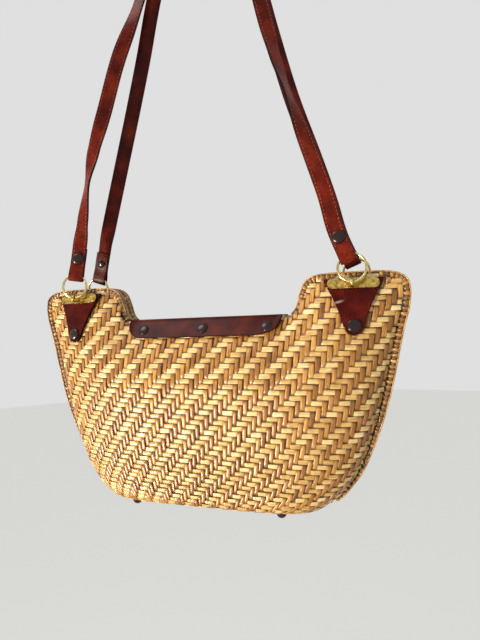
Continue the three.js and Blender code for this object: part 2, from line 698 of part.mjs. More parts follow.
// Stations of one branch, with its end folded round the ring, in the order that a strap runs.
function branchStations(corner) {
  const { total, frameAt } = strapBranch(corner);
  const apart = (length) => {
    const closed = (STRAP_LEATHER + CLEARANCE) / 2;
    const near = THREE.MathUtils.smoothstep(length, FOLD_CLOSES_FROM, FOLD_CLOSES_BY);
    const away = 1 - THREE.MathUtils.smoothstep(length, STRAP_TAIL, STRAP_TAIL + TAIL_FADE);
    return THREE.MathUtils.lerp(foldRadius, closed, near) * away;
  };
  const stations = [];
  for (const length of [...FOLD_STATIONS, STRAP_TAIL - TAIL_STEP, STRAP_TAIL].reverse()) {
    const { point, normal, up } = frameAt(length);
    stations.push({
      point: point.addScaledVector(normal, -apart(length)),
      normal: normal.clone().negate(),
      along: up.clone().negate(),
    });
  }
  const { point: ringPoint, normal: faceOut, up: ringUp } = frameAt(0);
  for (let step = 0; step <= FOLD_STEPS; step += 1) {
    const [sin, cos] = [Math.sin(step * Math.PI / FOLD_STEPS), Math.cos(step * Math.PI / FOLD_STEPS)];
    const outward = faceOut.clone().multiplyScalar(-cos).addScaledVector(ringUp, -sin);
    stations.push({
      point: ringPoint.clone().addScaledVector(outward, foldRadius),
      normal: outward,
      along: faceOut.clone().multiplyScalar(sin).addScaledVector(ringUp, -cos),
    });
  }
  const lengths = [...FOLD_STATIONS, STRAP_TAIL - TAIL_STEP, STRAP_TAIL, STRAP_TAIL + TAIL_STEP];
  const last = total - APEX_STATIONS[0] - STRAP_PITCH / 2;
  for (let length = STRAP_TAIL + TAIL_STEP + STRAP_PITCH; length < last; length += STRAP_PITCH) {
    lengths.push(length);
  }
  lengths.push(...APEX_STATIONS.map((before) => total - before));
  for (const length of lengths) {
    const { point, normal, up } = frameAt(length);
    stations.push({ point: point.addScaledVector(normal, apart(length)), normal, along: up });
  }
  return stations;
}

function strapGeometry(front) {
  const [left, right] = CORNERS.filter((corner) => corner.front === front).map(branchStations);
  const back = right.slice(0, -1).reverse()
    .map(({ point, normal, along }) => ({ point, normal, along: along.clone().negate() }));
  const stations = [...left, ...back];
  const face = (off) => (row, column) => {
    const { point, normal, along } = stations[row];
    const across = new THREE.Vector3().crossVectors(normal, along).normalize();
    return point.clone().addScaledVector(across, STRAP_WIDTH * (column - 0.5))
      .addScaledVector(normal, off);
  };
  return sheetSolid(stations.length - 1, 1, face(-STRAP_LEATHER / 2), face(STRAP_LEATHER / 2));
}

// Where a strap's rivet goes through both layers of its folded end.
const strapRivetPlace = (corner) => strapBranch(corner).frameAt(STRAP_RIVET_RISE);

// Assembly

const bag = new THREE.Group();
bag.position.z = -HANG_DROP;

function addPiece(name, geometry, finish) {
  const mesh = geometry.isMesh ? geometry : new THREE.Mesh(welded(geometry), finish);
  mesh.name = name;
  bag.add(mesh);
}

addPiece('basket_shell', fromManifold(basketShell()), STRAW);

for (const { name, front, side } of CORNERS) {
  addPiece(`edge_roll_${name}`, edgeRoll(front, side), STRAW_EDGE);
}

for (const [word, front] of [['front', 1], ['back', -1]]) {
  const holes = bindingRivetColumns.map((x) => wallHole(x, -BINDING_RIVET_DROP, front));
  addPiece(`mouth_binding_${word}`, withHoles(bindingGeometry(front), holes), LEATHER);
  bindingRivetColumns.forEach((x, i) => {
    const { point, normal } = wallPoint(x, -BINDING_RIVET_DROP,
      LAID_CLEARANCE + BINDING_LEATHER + CLEARANCE, front);
    const grip = 2 * (LAID_CLEARANCE + BINDING_LEATHER + CLEARANCE) + STRAW_WALL;
    addPiece(`binding_rivet_${word}_${i + 1}`,
      standAt(rivetGeometry(BINDING_RIVET_HEAD, RIVET_DOME, grip), point, normal), DARK_METAL);
  });
}

for (const corner of CORNERS) {
  const { name, front, side } = corner;
  addPiece(`leather_tab_${name}`, tabGeometry(front, side), LEATHER);
  addPiece(`brass_plate_${name}`, plateGeometry(front, side), BRASS);
  addPiece(`ring_${name}`, ringMesh(corner));
  const seat = wallPoint(side * RING_SPACING / 2, TAB_RIVET_HEIGHT,
    LAID_CLEARANCE + TAB_LEATHER + CLEARANCE, front);
  const grip = 2 * LAID_CLEARANCE + TAB_LEATHER + CLEARANCE + STRAW_WALL;
  addPiece(`tab_rivet_${name}`,
    standAt(rivetGeometry(RIVET_HEAD, RIVET_DOME, grip), seat.point, seat.normal), DARK_METAL);
}

for (const [word, front] of [['front', 1], ['back', -1]]) {
  const holes = CORNERS.filter((corner) => corner.front === front).map((corner) => {
    const { point, normal } = strapRivetPlace(corner);
    return standAt(rivetHole(6 * STRAP_LEATHER), point, normal);
  });
  addPiece(`strap_${word}`, withHoles(strapGeometry(front), holes), LEATHER);
}

for (const corner of CORNERS) {
  const { point, normal } = strapRivetPlace(corner);
  const grip = 2 * STRAP_LEATHER + 3 * CLEARANCE;
  point.addScaledVector(normal, grip / 2);
  addPiece(`strap_rivet_${corner.name}`,
    standAt(rivetGeometry(RIVET_HEAD, RIVET_DOME, grip), point, normal), DARK_METAL);
}

// The feet's domes point down, under the base.
for (const { name, point } of feet) {
  const grip = STRAW_WALL + 2 * CLEARANCE;
  const foot = rivetGeometry(FOOT_WIDTH, FOOT_HEIGHT, grip, FOOT_CAP).rotateX(Math.PI);
  addPiece(`foot_${name}`, foot.translate(point.x, point.y, point.z - CLEARANCE), DARK_METAL);
}

export default bag;
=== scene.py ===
# %% [markdown]
# A straw basket bag that hangs by two leather straps. The straw body is a real weave: every
# strand is a swept ribbon that goes over and under its neighbours, so gaps, edges and shadows
# come from geometry. The other way, one smooth shell with a bump pattern, looks painted on at
# the silhouette and in raking light. Leather, brass and rivets are swept and turned pieces.
#
# All sizes are in millimetres in the bag's own frame, where height 0 is the top of the mouth
# binding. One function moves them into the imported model's frame, in metres.

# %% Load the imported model
import math

import bpy
import numpy as np
from mathutils import Matrix, Vector


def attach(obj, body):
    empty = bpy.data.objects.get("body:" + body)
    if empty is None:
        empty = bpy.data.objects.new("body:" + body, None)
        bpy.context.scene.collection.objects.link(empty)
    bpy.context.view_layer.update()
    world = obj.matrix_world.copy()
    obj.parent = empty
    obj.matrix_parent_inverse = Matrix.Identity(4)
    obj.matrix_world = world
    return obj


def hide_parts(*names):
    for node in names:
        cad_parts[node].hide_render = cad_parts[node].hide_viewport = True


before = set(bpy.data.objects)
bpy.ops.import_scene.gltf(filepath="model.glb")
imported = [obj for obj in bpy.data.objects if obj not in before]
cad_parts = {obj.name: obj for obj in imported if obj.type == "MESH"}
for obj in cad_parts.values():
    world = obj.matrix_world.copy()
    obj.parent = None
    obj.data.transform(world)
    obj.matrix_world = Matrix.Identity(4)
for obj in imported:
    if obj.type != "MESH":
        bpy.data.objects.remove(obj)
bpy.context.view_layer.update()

# %% [markdown]
# The sizes below repeat the ones that shape the solids, so each finished piece lies where its
# solid lies. The silhouette and the straps' routes are shares of these sizes.

# %% Sizes in millimetres
MM = 0.001
HANG_DROP = 430
HALF_WIDTH = 160
BODY_HEIGHT = 148.5
EAR_RISE = 30
BULGE_DEPTH = 33
RIM_DEPTH = 8
STRAW_WALL = 2
BASE_EDGE_RADIUS = 5.5
BULGE_DROP = 60
EAR_BLEND = (60, 105)
FULLNESS = (2.4, 4.8)
SEAM_ROUNDING = 0.55
EDGE_STRETCH_LIMIT = 1.7
SEAM_DRAWN_IN = 0.8
ROLL_WIDTHS = (6, 2.6)
ROLL_DEPTHS = (8, 5)
ROLL_THINS_FROM = 50
ROLL_SPLIT = 1
CLEARANCE = 0.3
LAID_CLEARANCE = 0.7
NUDGE = 0.5
FACES = [("front", 1), ("back", -1)]
CORNERS = [(f"{word}_{hand}", front, side)
           for word, front in FACES for hand, side in (("left", -1), ("right", 1))]

SILHOUETTE = [
    (0.445, 0.02), (0.468, 0.15), (0.488, 0.48), (0.512, 0.78), (0.555, 0.95), (0.64, 1),
    (0.76, 1), (0.88, 0.98), (0.95, 0.91), (0.988, 0.76), (1, 0.5), (0.993, 0.1),
    (0.972, -0.067), (0.943, -0.2), (0.911, -0.357), (0.871, -0.512), (0.805, -0.707),
    (0.757, -0.815), (0.714, -0.88), (0.668, -0.94), (0.628, -0.975),
]


def smoothstep(value, low, high):
    share = np.clip((np.asarray(value, float) - low) / (high - low), 0, 1)
    return share * share * (3 - 2 * share)


def between(ends, share):
    """The value a share of the way from the first end to the second."""
    return ends[0] + (ends[1] - ends[0]) * share


def around(steps):
    """Angles of a full turn in equal steps."""
    return np.linspace(0, 2 * math.pi, steps, endpoint=False)


def to_frame(points):
    """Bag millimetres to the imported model's metres."""
    return (np.asarray(points, float) - (0, 0, HANG_DROP)) * MM


def unit(vectors):
    vectors = np.asarray(vectors, float)
    return vectors / np.maximum(np.linalg.norm(vectors, axis=-1, keepdims=True), 1e-9)


def smooth_path(points, steps):
    """Centripetal Catmull-Rom curve through the points."""
    points = np.asarray(points, float)
    padded = np.vstack([2 * points[0] - points[1], points, 2 * points[-1] - points[-2]])
    share = np.linspace(0, 1, steps, endpoint=False)[:, None]
    spans = []
    for a, b, c, d in zip(padded, padded[1:], padded[2:], padded[3:]):
        ab, bc, cd = (np.linalg.norm(q - p) ** 0.5 for p, q in ((a, b), (b, c), (c, d)))
        start = ((b - a) / ab - (c - a) / (ab + bc) + (c - b) / bc) * bc
        end = ((c - b) / bc - (d - b) / (bc + cd) + (d - c) / cd) * bc
        cubic = 2 * b - 2 * c + start + end
        square = -3 * b + 3 * c - 2 * start - end
        spans.append(b + start * share + square * share ** 2 + cubic * share ** 3)
    return np.vstack(spans + [points[-1:]])


def path_lengths(path):
    return np.concatenate([[0], np.cumsum(np.linalg.norm(np.diff(path, axis=0), axis=1))])


def along_path(path, lengths):
    """Points of a path at the given lengths along it."""
    run = path_lengths(path)
    return np.stack([np.interp(lengths, run, path[:, axis]) for axis in range(path.shape[1])], 1)


# %% [markdown]
# The camera comes first, because everything is judged through it. It stands where the
# photographer stood: in front of the bag, right of its middle, level with its mouth, and
# slightly rolled, which makes the hanging bag look tilted.

# %% Camera
FRAME_HEIGHT_PX = 640
FOCAL_PX = 481
SENSOR_MM = 36
CAMERA_AT = (156.1, -373.0, -3.0)
CAMERA_YAW = 19.1
CAMERA_ROLL = 2.1

camera_data = bpy.data.cameras.new("camera")
camera_data.sensor_width = SENSOR_MM
camera_data.lens = FOCAL_PX * SENSOR_MM / FRAME_HEIGHT_PX
camera_data.clip_start = 0.01
camera = bpy.data.objects.new("camera", camera_data)
turn = (Matrix.Rotation(math.radians(CAMERA_YAW), 4, "Z") @ Matrix.Rotation(math.radians(90), 4, "X")
        @ Matrix.Rotation(math.radians(-CAMERA_ROLL), 4, "Z"))
camera.matrix_world = Matrix.Translation(Vector(to_frame(CAMERA_AT))) @ turn
bpy.context.scene.collection.objects.link(camera)
bpy.context.scene.camera = camera
print("lens in mm:", round(camera_data.lens, 2))

# %% [markdown]
# The light is soft and plain. The photograph's key light stands left of the camera and a little
# low: rivet heads glint at their lower left, and the bag's right end turns dark. So the key is a
# broad disk whose beam is narrow and aimed left of the bag's middle. A pale sky fills the rest.
# The floor lies well below the hanging bag. Places and sizes are in millimetres, power in watts.

# %% Floor, sky and lights


def linear(hex_colour):
    """An sRGB hex colour as linear red, green, blue and alpha."""
    channels = [int(hex_colour[i:i + 2], 16) / 255 for i in (1, 3, 5)]
    return [c / 12.92 if c <= 0.04045 else ((c + 0.055) / 1.055) ** 2.4 for c in channels] + [1]


FLOOR_DROP = 950
FLOOR_RADIUS = 6000
FLOOR_SIDES = 64


def area_light(name, place, target, size, power, colour, spread=180):
    data = bpy.data.lights.new(name, "AREA")
    data.shape = "DISK"
    data.size = size * MM
    data.spread = math.radians(spread)
    data.energy = power
    data.color = linear(colour)[:3]
    light = bpy.data.objects.new(name, data)
    start = Vector(to_frame(place))
    aim = Vector(to_frame(target)) - start
    light.matrix_world = Matrix.Translation(start) @ aim.to_track_quat("-Z", "Y").to_matrix().to_4x4()
    bpy.context.scene.collection.objects.link(light)


BAG_MIDDLE = (0, 0, -40)
area_light("key", (-700, -880, -400), (-35, 0, -50), 460, 1.02, "#FFF2E0", spread=24)
area_light("fill", (700, -1000, 500), BAG_MIDDLE, 900, 0.2, "#EAF0FF")
area_light("top", (-500, -300, 800), BAG_MIDDLE, 500, 3, "#FFFFFF")
sky = bpy.data.worlds.new("pale_sky")
sky.use_nodes = True
sky_shader = sky.node_tree.nodes["Background"]
sky_shader.inputs["Color"].default_value = linear("#F1F2F1")
sky_shader.inputs["Strength"].default_value = 0.84
bpy.context.scene.world = sky
bpy.context.scene.view_settings.view_transform = "Standard"

floor_mesh = bpy.data.meshes.new("floor")
round_floor = around(FLOOR_SIDES)
floor_points = np.stack([FLOOR_RADIUS * np.cos(round_floor), FLOOR_RADIUS * np.sin(round_floor),
                         np.full(FLOOR_SIDES, -FLOOR_DROP)], 1)
floor_mesh.from_pydata(to_frame(floor_points).tolist(), [], [list(range(FLOOR_SIDES))])
floor = bpy.data.objects.new("floor", floor_mesh)
bpy.context.scene.collection.objects.link(floor)
print("floor and three lights")

# %% [markdown]
# Each material is a small node tree. One helper adds a node with its settings and links, so a
# tree reads from its pattern to its shader. Strands carry three values of their own: where a
# point lies on its strand, the strand's tone, and how far it dives under its neighbours, which
# sets a painted shade. In a Mix node of colours, sockets 0, 6 and 7 are the factor and the two
# colours, and output 2 is their mix.

# %% Material helpers


def plug(socket, value):
    """Gives a socket a constant, a hex colour, a node's first output or another output."""
    if isinstance(value, bpy.types.Node):
        value = value.outputs[0]
    if isinstance(value, bpy.types.NodeSocket):
        socket.id_data.links.new(value, socket)
    else:
        socket.default_value = linear(value) if isinstance(value, str) else value


def settle(node, sockets=None, stops=(), **settings):
    """Gives a node its properties, its sockets' values and its ramp's (place, colour) stops."""
    for name, value in settings.items():
        if hasattr(node, name):
            setattr(node, name, value)
        else:
            plug(node.inputs[name.replace("_", " ").title().replace("Ior", "IOR")], value)
    for socket, value in (sockets or {}).items():
        plug(node.inputs[socket], value)
    if stops:
        elements = node.color_ramp.elements
        for element, (place, colour) in zip(elements, (stops[0], stops[-1])):
            element.position = place
            element.color = linear(colour)
        for place, colour in stops[1:-1]:
            elements.new(place).color = linear(colour)


def add(tree, kind, sockets=None, **settings):
    """Adds a node with its settings and links."""
    node = tree.nodes.new("ShaderNode" + kind)
    settle(node, sockets, **settings)
    return node


def new_finish(name):
    """A material with its tree and its shader."""
    finish = bpy.data.materials.new(name)
    finish.use_nodes = True
    return finish, finish.node_tree, finish.node_tree.nodes["Principled BSDF"]


# %% [markdown]
# Floor: a plain pale matt paint, so nothing competes with the bag.

# %% Floor material
floor_paint, tree, shader = new_finish("pale_matt_floor_paint")
settle(shader, base_color="#F4F3F0", roughness=0.9)
floor_mesh.materials.append(floor_paint)

# %% [markdown]
# Straw: split palm leaf, dried and flattened. Its fibres run along the strand, so the grain is
# a noise that is stretched along it, 0.35 mm wide and 9 mm long. Slower patches of colour run
# along each strand, and each strand has a tone of its own. A waxy skin gives a broad soft shine.
# Where a strand dives under its neighbours, its colour is darkened as painted shade.

# %% Straw materials
FIBRE_WIDTH = 0.35
FIBRE_LENGTH = 9
PATCH_LENGTH = 50 / 3
STRANDS_APART = 97.0
GRAIN_SHARE, PATCH_SHARE, STRAND_SHARE, TONE_DROP = 1.5, 0.7, 0.5, 0.85
TUCK_SHADE_SHARE = 0.9


def straw_finish(name, dark, mid, light, tuck_shade_colour):
    finish, tree, shader = new_finish(name)
    strand = add(tree, "Attribute", attribute_name="strand")
    tuck_shade = add(tree, "Attribute", attribute_name="tuck_shade")
    length, width, number = add(tree, "SeparateXYZ", {0: strand.outputs["Vector"]}).outputs
    along = add(tree, "Math", {0: length, 1: 1 / FIBRE_LENGTH}, operation="MULTIPLY")
    across = add(tree, "Math", {0: width, 1: 1 / FIBRE_WIDTH}, operation="MULTIPLY")
    apart = add(tree, "Math", {0: number, 1: STRANDS_APART}, operation="MULTIPLY")
    grain_place = add(tree, "CombineXYZ", {0: along, 1: across, 2: apart})
    grain = add(tree, "TexNoise", {"Vector": grain_place}, scale=1.0, detail=3.0, roughness=0.6)
    slower = add(tree, "Math", {0: length, 1: 1 / PATCH_LENGTH}, operation="MULTIPLY")
    patch_place = add(tree, "CombineXYZ", {0: slower, 2: apart})
    patch = add(tree, "TexNoise", {"Vector": patch_place}, scale=1.0, detail=1.0)
    tone = add(tree, "Math", {0: patch, 1: PATCH_SHARE}, operation="MULTIPLY")
    tone = add(tree, "Math", {0: grain, 1: GRAIN_SHARE, 2: tone}, operation="MULTIPLY_ADD")
    tone = add(tree, "Math", {0: number, 1: STRAND_SHARE, 2: tone}, operation="MULTIPLY_ADD")
    tone = add(tree, "Math", {0: tone, 1: TONE_DROP}, operation="SUBTRACT")
    colour = add(tree, "ValToRGB", {0: tone}, stops=[(0.12, dark), (0.5, mid), (0.85, light)])
    # Painted shade: the colour darkens toward the last, dark brown colour where a strand dives under its
    # neighbours.
    tuck_shaded = add(tree, "Math", {0: tuck_shade.outputs["Fac"], 1: TUCK_SHADE_SHARE}, operation="MULTIPLY")
    colour = add(tree, "Mix", {0: tuck_shaded, 6: colour, 7: tuck_shade_colour}, data_type="RGBA").outputs[2]
    dents = add(tree, "Bump", {"Height": grain}, strength=0.35, distance=0.2 * MM)
    settle(shader, base_color=colour, normal=dents, roughness=0.36, ior=1.5, coat_weight=0.22,
           coat_roughness=0.24)
    return finish


# Each straw's last colour is the painted shade where it dives under its neighbours.
weft_straw = straw_finish("split_palm_straw_cream", "#966A2A", "#C69E5A", "#E8D09A", "#3A170C")
# The uprights' darker palette is partly their own golden tone and partly painted shade, for how their grain
# catches the light less.
golden_warp_straw_with_painted_shade = straw_finish("split_palm_straw_golden_and_painted_shade", "#5C3406", "#94601A", "#C69448", "#2C1008")
edge_straw = straw_finish("rolled_palm_straw_edge", "#4E2D0D", "#8E6129", "#C79C58", "#261006")
# The core's straw is darker than the weave's.
core_straw = straw_finish("darker_straw_core", "#3A2410", "#6A451F", "#8C6230", "#2A170A")

# %% [markdown]
# Leather: smooth vegetable-tanned cowhide, dyed oxblood and waxed. Pores are 0.5 mm apart and
# only dent the surface a little. Dye clouds over about 14 mm and gathers at the cut edges, which
# are almost black. The wax is thin, so it shines faintly. One tab has a pale scuff.

# %% Leather materials
PORE_SPACING = 0.5
CLOUD_SIZE = 14
SCRATCH_SIZE = 1.6
CLOUD_SHARE, SCRATCH_SHARE, PORE_SHARE = 0.7, 0.3, 0.5
SCRATCH_ROUGHNESS, SCRATCH_ROUGHNESS_MEAN = 0.25, 0.12
SCUFF_AT = (109.5, -20, 7.5)
SCUFF_SIZE = (6, 40, 1.6)
SCUFF_TURN = -12
SCUFF_PATCHINESS = 2.0


def leather_finish(name, deep, mid, worn, edge, roughness, scuff=False):
    finish, tree, shader = new_finish(name)
    place = add(tree, "TexCoord").outputs["Object"]
    edge_mark = add(tree, "Attribute", attribute_name="edge")
    cloud = add(tree, "TexNoise", {"Vector": place}, scale=1 / (CLOUD_SIZE * MM), detail=4.0)
    fine = add(tree, "TexNoise", {"Vector": place}, scale=1 / (SCRATCH_SIZE * MM), detail=5.0)
    pores = add(tree, "TexVoronoi", {"Vector": place}, scale=1 / (PORE_SPACING * MM))
    tone = add(tree, "Math", {0: fine, 1: SCRATCH_SHARE}, operation="MULTIPLY")
    tone = add(tree, "Math", {0: cloud, 1: CLOUD_SHARE, 2: tone}, operation="MULTIPLY_ADD")
    colour = add(tree, "ValToRGB", {0: tone}, stops=[(0.3, deep), (0.5, mid), (0.72, worn)])
    colour = add(tree, "Mix", {0: edge_mark.outputs["Fac"], 6: colour, 7: edge},
                 data_type="RGBA").outputs[2]
    if scuff:
        spot = add(tree, "Mapping", {
            "Vector": place, "Location": to_frame(SCUFF_AT), "Rotation": (0, math.radians(SCUFF_TURN), 0),
            "Scale": [size * MM for size in SCUFF_SIZE]}, vector_type="TEXTURE")
        rub = add(tree, "TexGradient", {"Vector": spot}, gradient_type="QUADRATIC_SPHERE")
        patchy = add(tree, "Math", {0: fine, 1: SCUFF_PATCHINESS}, operation="MULTIPLY")
        rubbed = add(tree, "Math", {0: rub.outputs["Fac"], 1: patchy}, operation="MULTIPLY")
        colour = add(tree, "Mix", {0: rubbed, 6: colour, 7: "#A8938A"}, data_type="RGBA").outputs[2]
    height = add(tree, "Math", {0: pores, 1: PORE_SHARE, 2: fine}, operation="MULTIPLY_ADD")
    dents = add(tree, "Bump", {"Height": height}, strength=0.22, distance=0.15 * MM)
    rough = add(tree, "Math", {0: fine, 1: SCRATCH_ROUGHNESS, 2: roughness - SCRATCH_ROUGHNESS_MEAN},
                operation="MULTIPLY_ADD")
    settle(shader, base_color=colour, normal=dents, roughness=rough, specular_ior_level=0.07,
           coat_weight=0.05, coat_roughness=0.18)
    return finish


strap_leather = leather_finish("waxed_oxblood_strap_leather", "#300A05", "#5C1709", "#842C12",
                               "#0E0302", 0.34)
# The back strap is the same leather as the front one, darkened as painted shade.
painted_shade_strap_leather = leather_finish("oxblood_strap_leather_painted_shade", "#220603", "#480F06", "#6E200C",
                                    "#0A0201", 0.34)
TAB_DYES = ("#1E0201", "#3A0703", "#581508", "#0E0202")
tab_leather = leather_finish("waxed_oxblood_tab_leather", *TAB_DYES, 0.3)
scuffed_leather = leather_finish("scuffed_oxblood_tab_leather", *TAB_DYES, 0.3, scuff=True)
binding_leather = leather_finish("oiled_chestnut_binding_leather", "#1E0502", "#3A0C04", "#541A0A",
                                 "#140503", 0.34)

# %% [markdown]
# Brass: cast and drawn, left bare. It has gone pale and dull in the hollows and stays bright
# where hands polish it. The rivets and feet are steel with a dark oxblood lacquer, which is
# glossy like glass over a nearly black ground. The straps are sewn with waxed thread.

# %% Metal and thread materials
PATINA_ROUGHNESS = 0.6


def speckled_finish(name, size, detail, *stops):
    """A finish whose colour runs through the stops, in a noise of a size in millimetres."""
    finish, tree, shader = new_finish(name)
    place = add(tree, "TexCoord").outputs["Object"]
    speckle = add(tree, "TexNoise", {"Vector": place}, scale=1 / (size * MM), detail=detail)
    settle(shader, base_color=add(tree, "ValToRGB", {0: speckle}, stops=stops))
    return finish, tree, shader, speckle


aged_brass, tree, shader, patina = speckled_finish(
    "bare_aged_brass", 2.6, 5.0, (0.32, "#86682A"), (0.5, "#C2A04E"), (0.7, "#E8CF88"))
settle(patina, roughness=0.65)
dull = add(tree, "Math", {0: patina, 1: PATINA_ROUGHNESS}, operation="MULTIPLY")
dents = add(tree, "Bump", {"Height": patina}, strength=0.3, distance=0.2 * MM)
settle(shader, normal=dents, metallic=1.0, roughness=dull)

ring_brass, _, shader, _ = speckled_finish(
    "drawn_pale_brass_wire", 4, 3.0, (0.3, "#C0A860"), (0.7, "#F0E0A8"))
settle(shader, metallic=1.0, roughness=0.2)

lacquered_steel, _, shader, _ = speckled_finish(
    "oxblood_lacquered_steel", 1.5, 4.0, (0.35, "#0E0303"), (0.6, "#200706"), (0.8, "#3A110C"))
settle(shader, roughness=0.3, specular_ior_level=0.25, coat_weight=0.3, coat_roughness=0.05)

waxed_thread, _, shader, _ = speckled_finish(
    "waxed_red_thread", 0.8, 2.0, (0.35, "#5E2014"), (0.65, "#94462F"))
settle(shader, roughness=0.6)
print("materials:", len(bpy.data.materials))

# %% [markdown]
# Nearly everything here is one of two shapes. A ribbon is a section that is swept along a path,
# for strands, straps, wire and stitches. A sheet is two grids of points joined at their borders,
# for tabs, bindings and plates. Many ribbons are joined into one mesh, because thousands of
# separate objects are slow and hard to handle. Only rivets and feet are turned, further down.

# %% Mesh helpers


def round_section(sides):
    turn = around(sides)
    return np.stack([-np.cos(turn), np.sin(turn)], 1)


STRAND_SECTION = np.array([(-1, 0), (-0.8, 1), (0.8, 1), (1, 0), (0.8, -1), (-0.8, -1)], float)


def tube_faces(rings, sides, loop=False):
    """Faces between rings of points, with two end caps unless the rings close a loop."""
    first = np.arange(rings if loop else rings - 1)[:, None] * sides
    step = (first + sides) % (rings * sides)
    here, after = np.arange(sides), (np.arange(sides) + 1) % sides
    faces = np.stack([first + here, first + after, step + after, step + here], -1).reshape(-1, 4).tolist()
    if not loop:
        faces.append(list(range(sides - 1, -1, -1)))
        faces.append([(rings - 1) * sides + i for i in range(sides)])
    return faces


def ribbon(path, up, section, wide, tall, tone=0.5, tuck_shade=0.0, loop=False):
    """A section swept along a path, with its top towards up, as points, faces and marks.

    wide and tall are half the ribbon's width and thickness, as one number or one per point.
    """
    path = np.asarray(path, float)
    if loop:
        run = unit(np.roll(path, -1, 0) - np.roll(path, 1, 0))
    else:
        run = unit(np.gradient(path, axis=0))
    up = unit(up - (up * run).sum(1, keepdims=True) * run)
    side = np.cross(run, up)
    count, sides = len(path), len(section)
    wide = np.broadcast_to(wide, count)[:, None, None]
    tall = np.broadcast_to(tall, count)[:, None, None]
    points = (path[:, None] + side[:, None] * section[None, :, :1] * wide
              + up[:, None] * section[None, :, 1:] * tall)
    marks = np.zeros((count, sides, 4))
    marks[:, :, 0] = path_lengths(path)[:, None]
    marks[:, :, 1] = section[None, :, 0] * wide[:, :, 0]
    marks[:, :, 2] = tone
    # The fourth mark sets the painted shade where a strand dives under its neighbours.
    marks[:, :, 3] = np.broadcast_to(tuck_shade, count)[:, None]
    return points.reshape(-1, 3), tube_faces(count, sides, loop), marks.reshape(-1, 4)


def sheet(outer, inner):
    """Two grids of points, rows by columns, joined at their borders into one closed skin."""
    rows, columns = outer.shape[:2]
    points = np.concatenate([outer.reshape(-1, 3), inner.reshape(-1, 3)])
    other = rows * columns
    faces = []
    for row in range(rows - 1):
        for column in range(columns - 1):
            a = row * columns + column
            faces.append([a, a + 1, a + columns + 1, a + columns])
            faces.append([other + a, other + a + columns, other + a + columns + 1, other + a + 1])
    rim = ([(0, c) for c in range(columns)] + [(r, columns - 1) for r in range(1, rows)]
           + [(rows - 1, c) for c in range(columns - 2, -1, -1)] + [(r, 0) for r in range(rows - 2, 0, -1)])
    ids = [r * columns + c for r, c in rim]
    for a, b in zip(ids, ids[1:] + ids[:1]):
        faces.append([b, a, other + a, other + b])
    return points, faces, np.zeros((len(points), 4))


def joined(parts):
    """Several (points, faces, marks) as one."""
    points, faces, marks, start = [], [], [], 0
    for part_points, part_faces, part_marks in parts:
        points.append(part_points)
        marks.append(part_marks)
        faces.extend([[start + i for i in face] for face in part_faces])
        start += len(part_points)
    return np.concatenate(points), faces, np.concatenate(marks)


SHARP_FROM = 50


def mark_points(mesh, name, kind, field, values):
    """Gives each point of a mesh its own values, for a material to read by name."""
    attribute = mesh.attributes.new(name, kind, "POINT")
    attribute.data.foreach_set(field, np.ascontiguousarray(values, float).ravel())


def build(name, shape, finish, nodes=(), edge=None, bevel=0):
    """A piece of the bag made from a shape, in a finish, that stands for the solids of these nodes."""
    points, faces, marks = shape
    mesh = bpy.data.meshes.new(name)
    mesh.from_pydata(to_frame(points).tolist(), [], faces)
    mesh.update()
    mesh.shade_smooth()
    mark_points(mesh, "strand", "FLOAT_VECTOR", "vector", marks[:, :3])
    # The fourth mark carries the painted shade where straw dives under its neighbours.
    mark_points(mesh, "tuck_shade", "FLOAT", "value", marks[:, 3])
    if edge is not None:
        mark_points(mesh, "edge", "FLOAT", "value", edge)
    mesh.materials.append(finish)
    piece = bpy.data.objects.new(name, mesh)
    bpy.context.scene.collection.objects.link(piece)
    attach(piece, "root")
    if nodes:
        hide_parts(*nodes)
    if bevel:
        rounding = piece.modifiers.new("rounded_edges", "BEVEL")
        rounding.width = bevel * MM
        rounding.segments = 2
        rounding.limit_method = "ANGLE"
        rounding.angle_limit = math.radians(SHARP_FROM)
    return piece


# %% [markdown]
# The wall's shape is a formula: a lens across, swelling from the thin mouth down to the flat
# base. The same formula carries the weave, the tabs, the binding and the rivets.

# %% Shape of the wall
outline = smooth_path([(across * HALF_WIDTH, rise * (EAR_RISE if rise > 0 else BODY_HEIGHT))
                       for across, rise in SILHOUETTE], 12)
side_edge = outline[np.argmax(outline[:, 0]):]


def half_width(height):
    rising = side_edge[::-1]
    inside = np.interp(height, rising[:, 1], rising[:, 0])
    slope = (rising[1, 0] - rising[0, 0]) / (rising[1, 1] - rising[0, 1])
    return np.where(height < rising[0, 1], rising[0, 0] + (height - rising[0, 1]) * slope, inside)


def roll_size(sizes, height):
    """The rolled edge's width or depth, which shrinks toward the base."""
    return between(sizes, smoothstep(-np.asarray(height), ROLL_THINS_FROM, BODY_HEIGHT))


def wall_half_width(height):
    slope = half_width(height + NUDGE) - half_width(height - NUDGE)
    stretch = np.minimum(np.hypot(1, slope), EDGE_STRETCH_LIMIT)
    return half_width(height) - (roll_size(ROLL_WIDTHS, height) + LAID_CLEARANCE) * stretch


def wall_depth(x, height):
    """Half depth of the bag at a place on its front."""
    top = EAR_RISE * smoothstep(np.abs(x), *EAR_BLEND)
    swell = np.sin(np.clip((top - height) / (top + BULGE_DROP), 0, 1) * math.pi / 2)
    across = np.clip(np.abs(x) / wall_half_width(height), 0, 1)
    fullness = between(FULLNESS, np.clip(-height / BODY_HEIGHT, 0, 1))
    lens = (1 - across ** fullness) ** SEAM_ROUNDING
    return RIM_DEPTH + (BULGE_DEPTH - RIM_DEPTH) * swell * lens


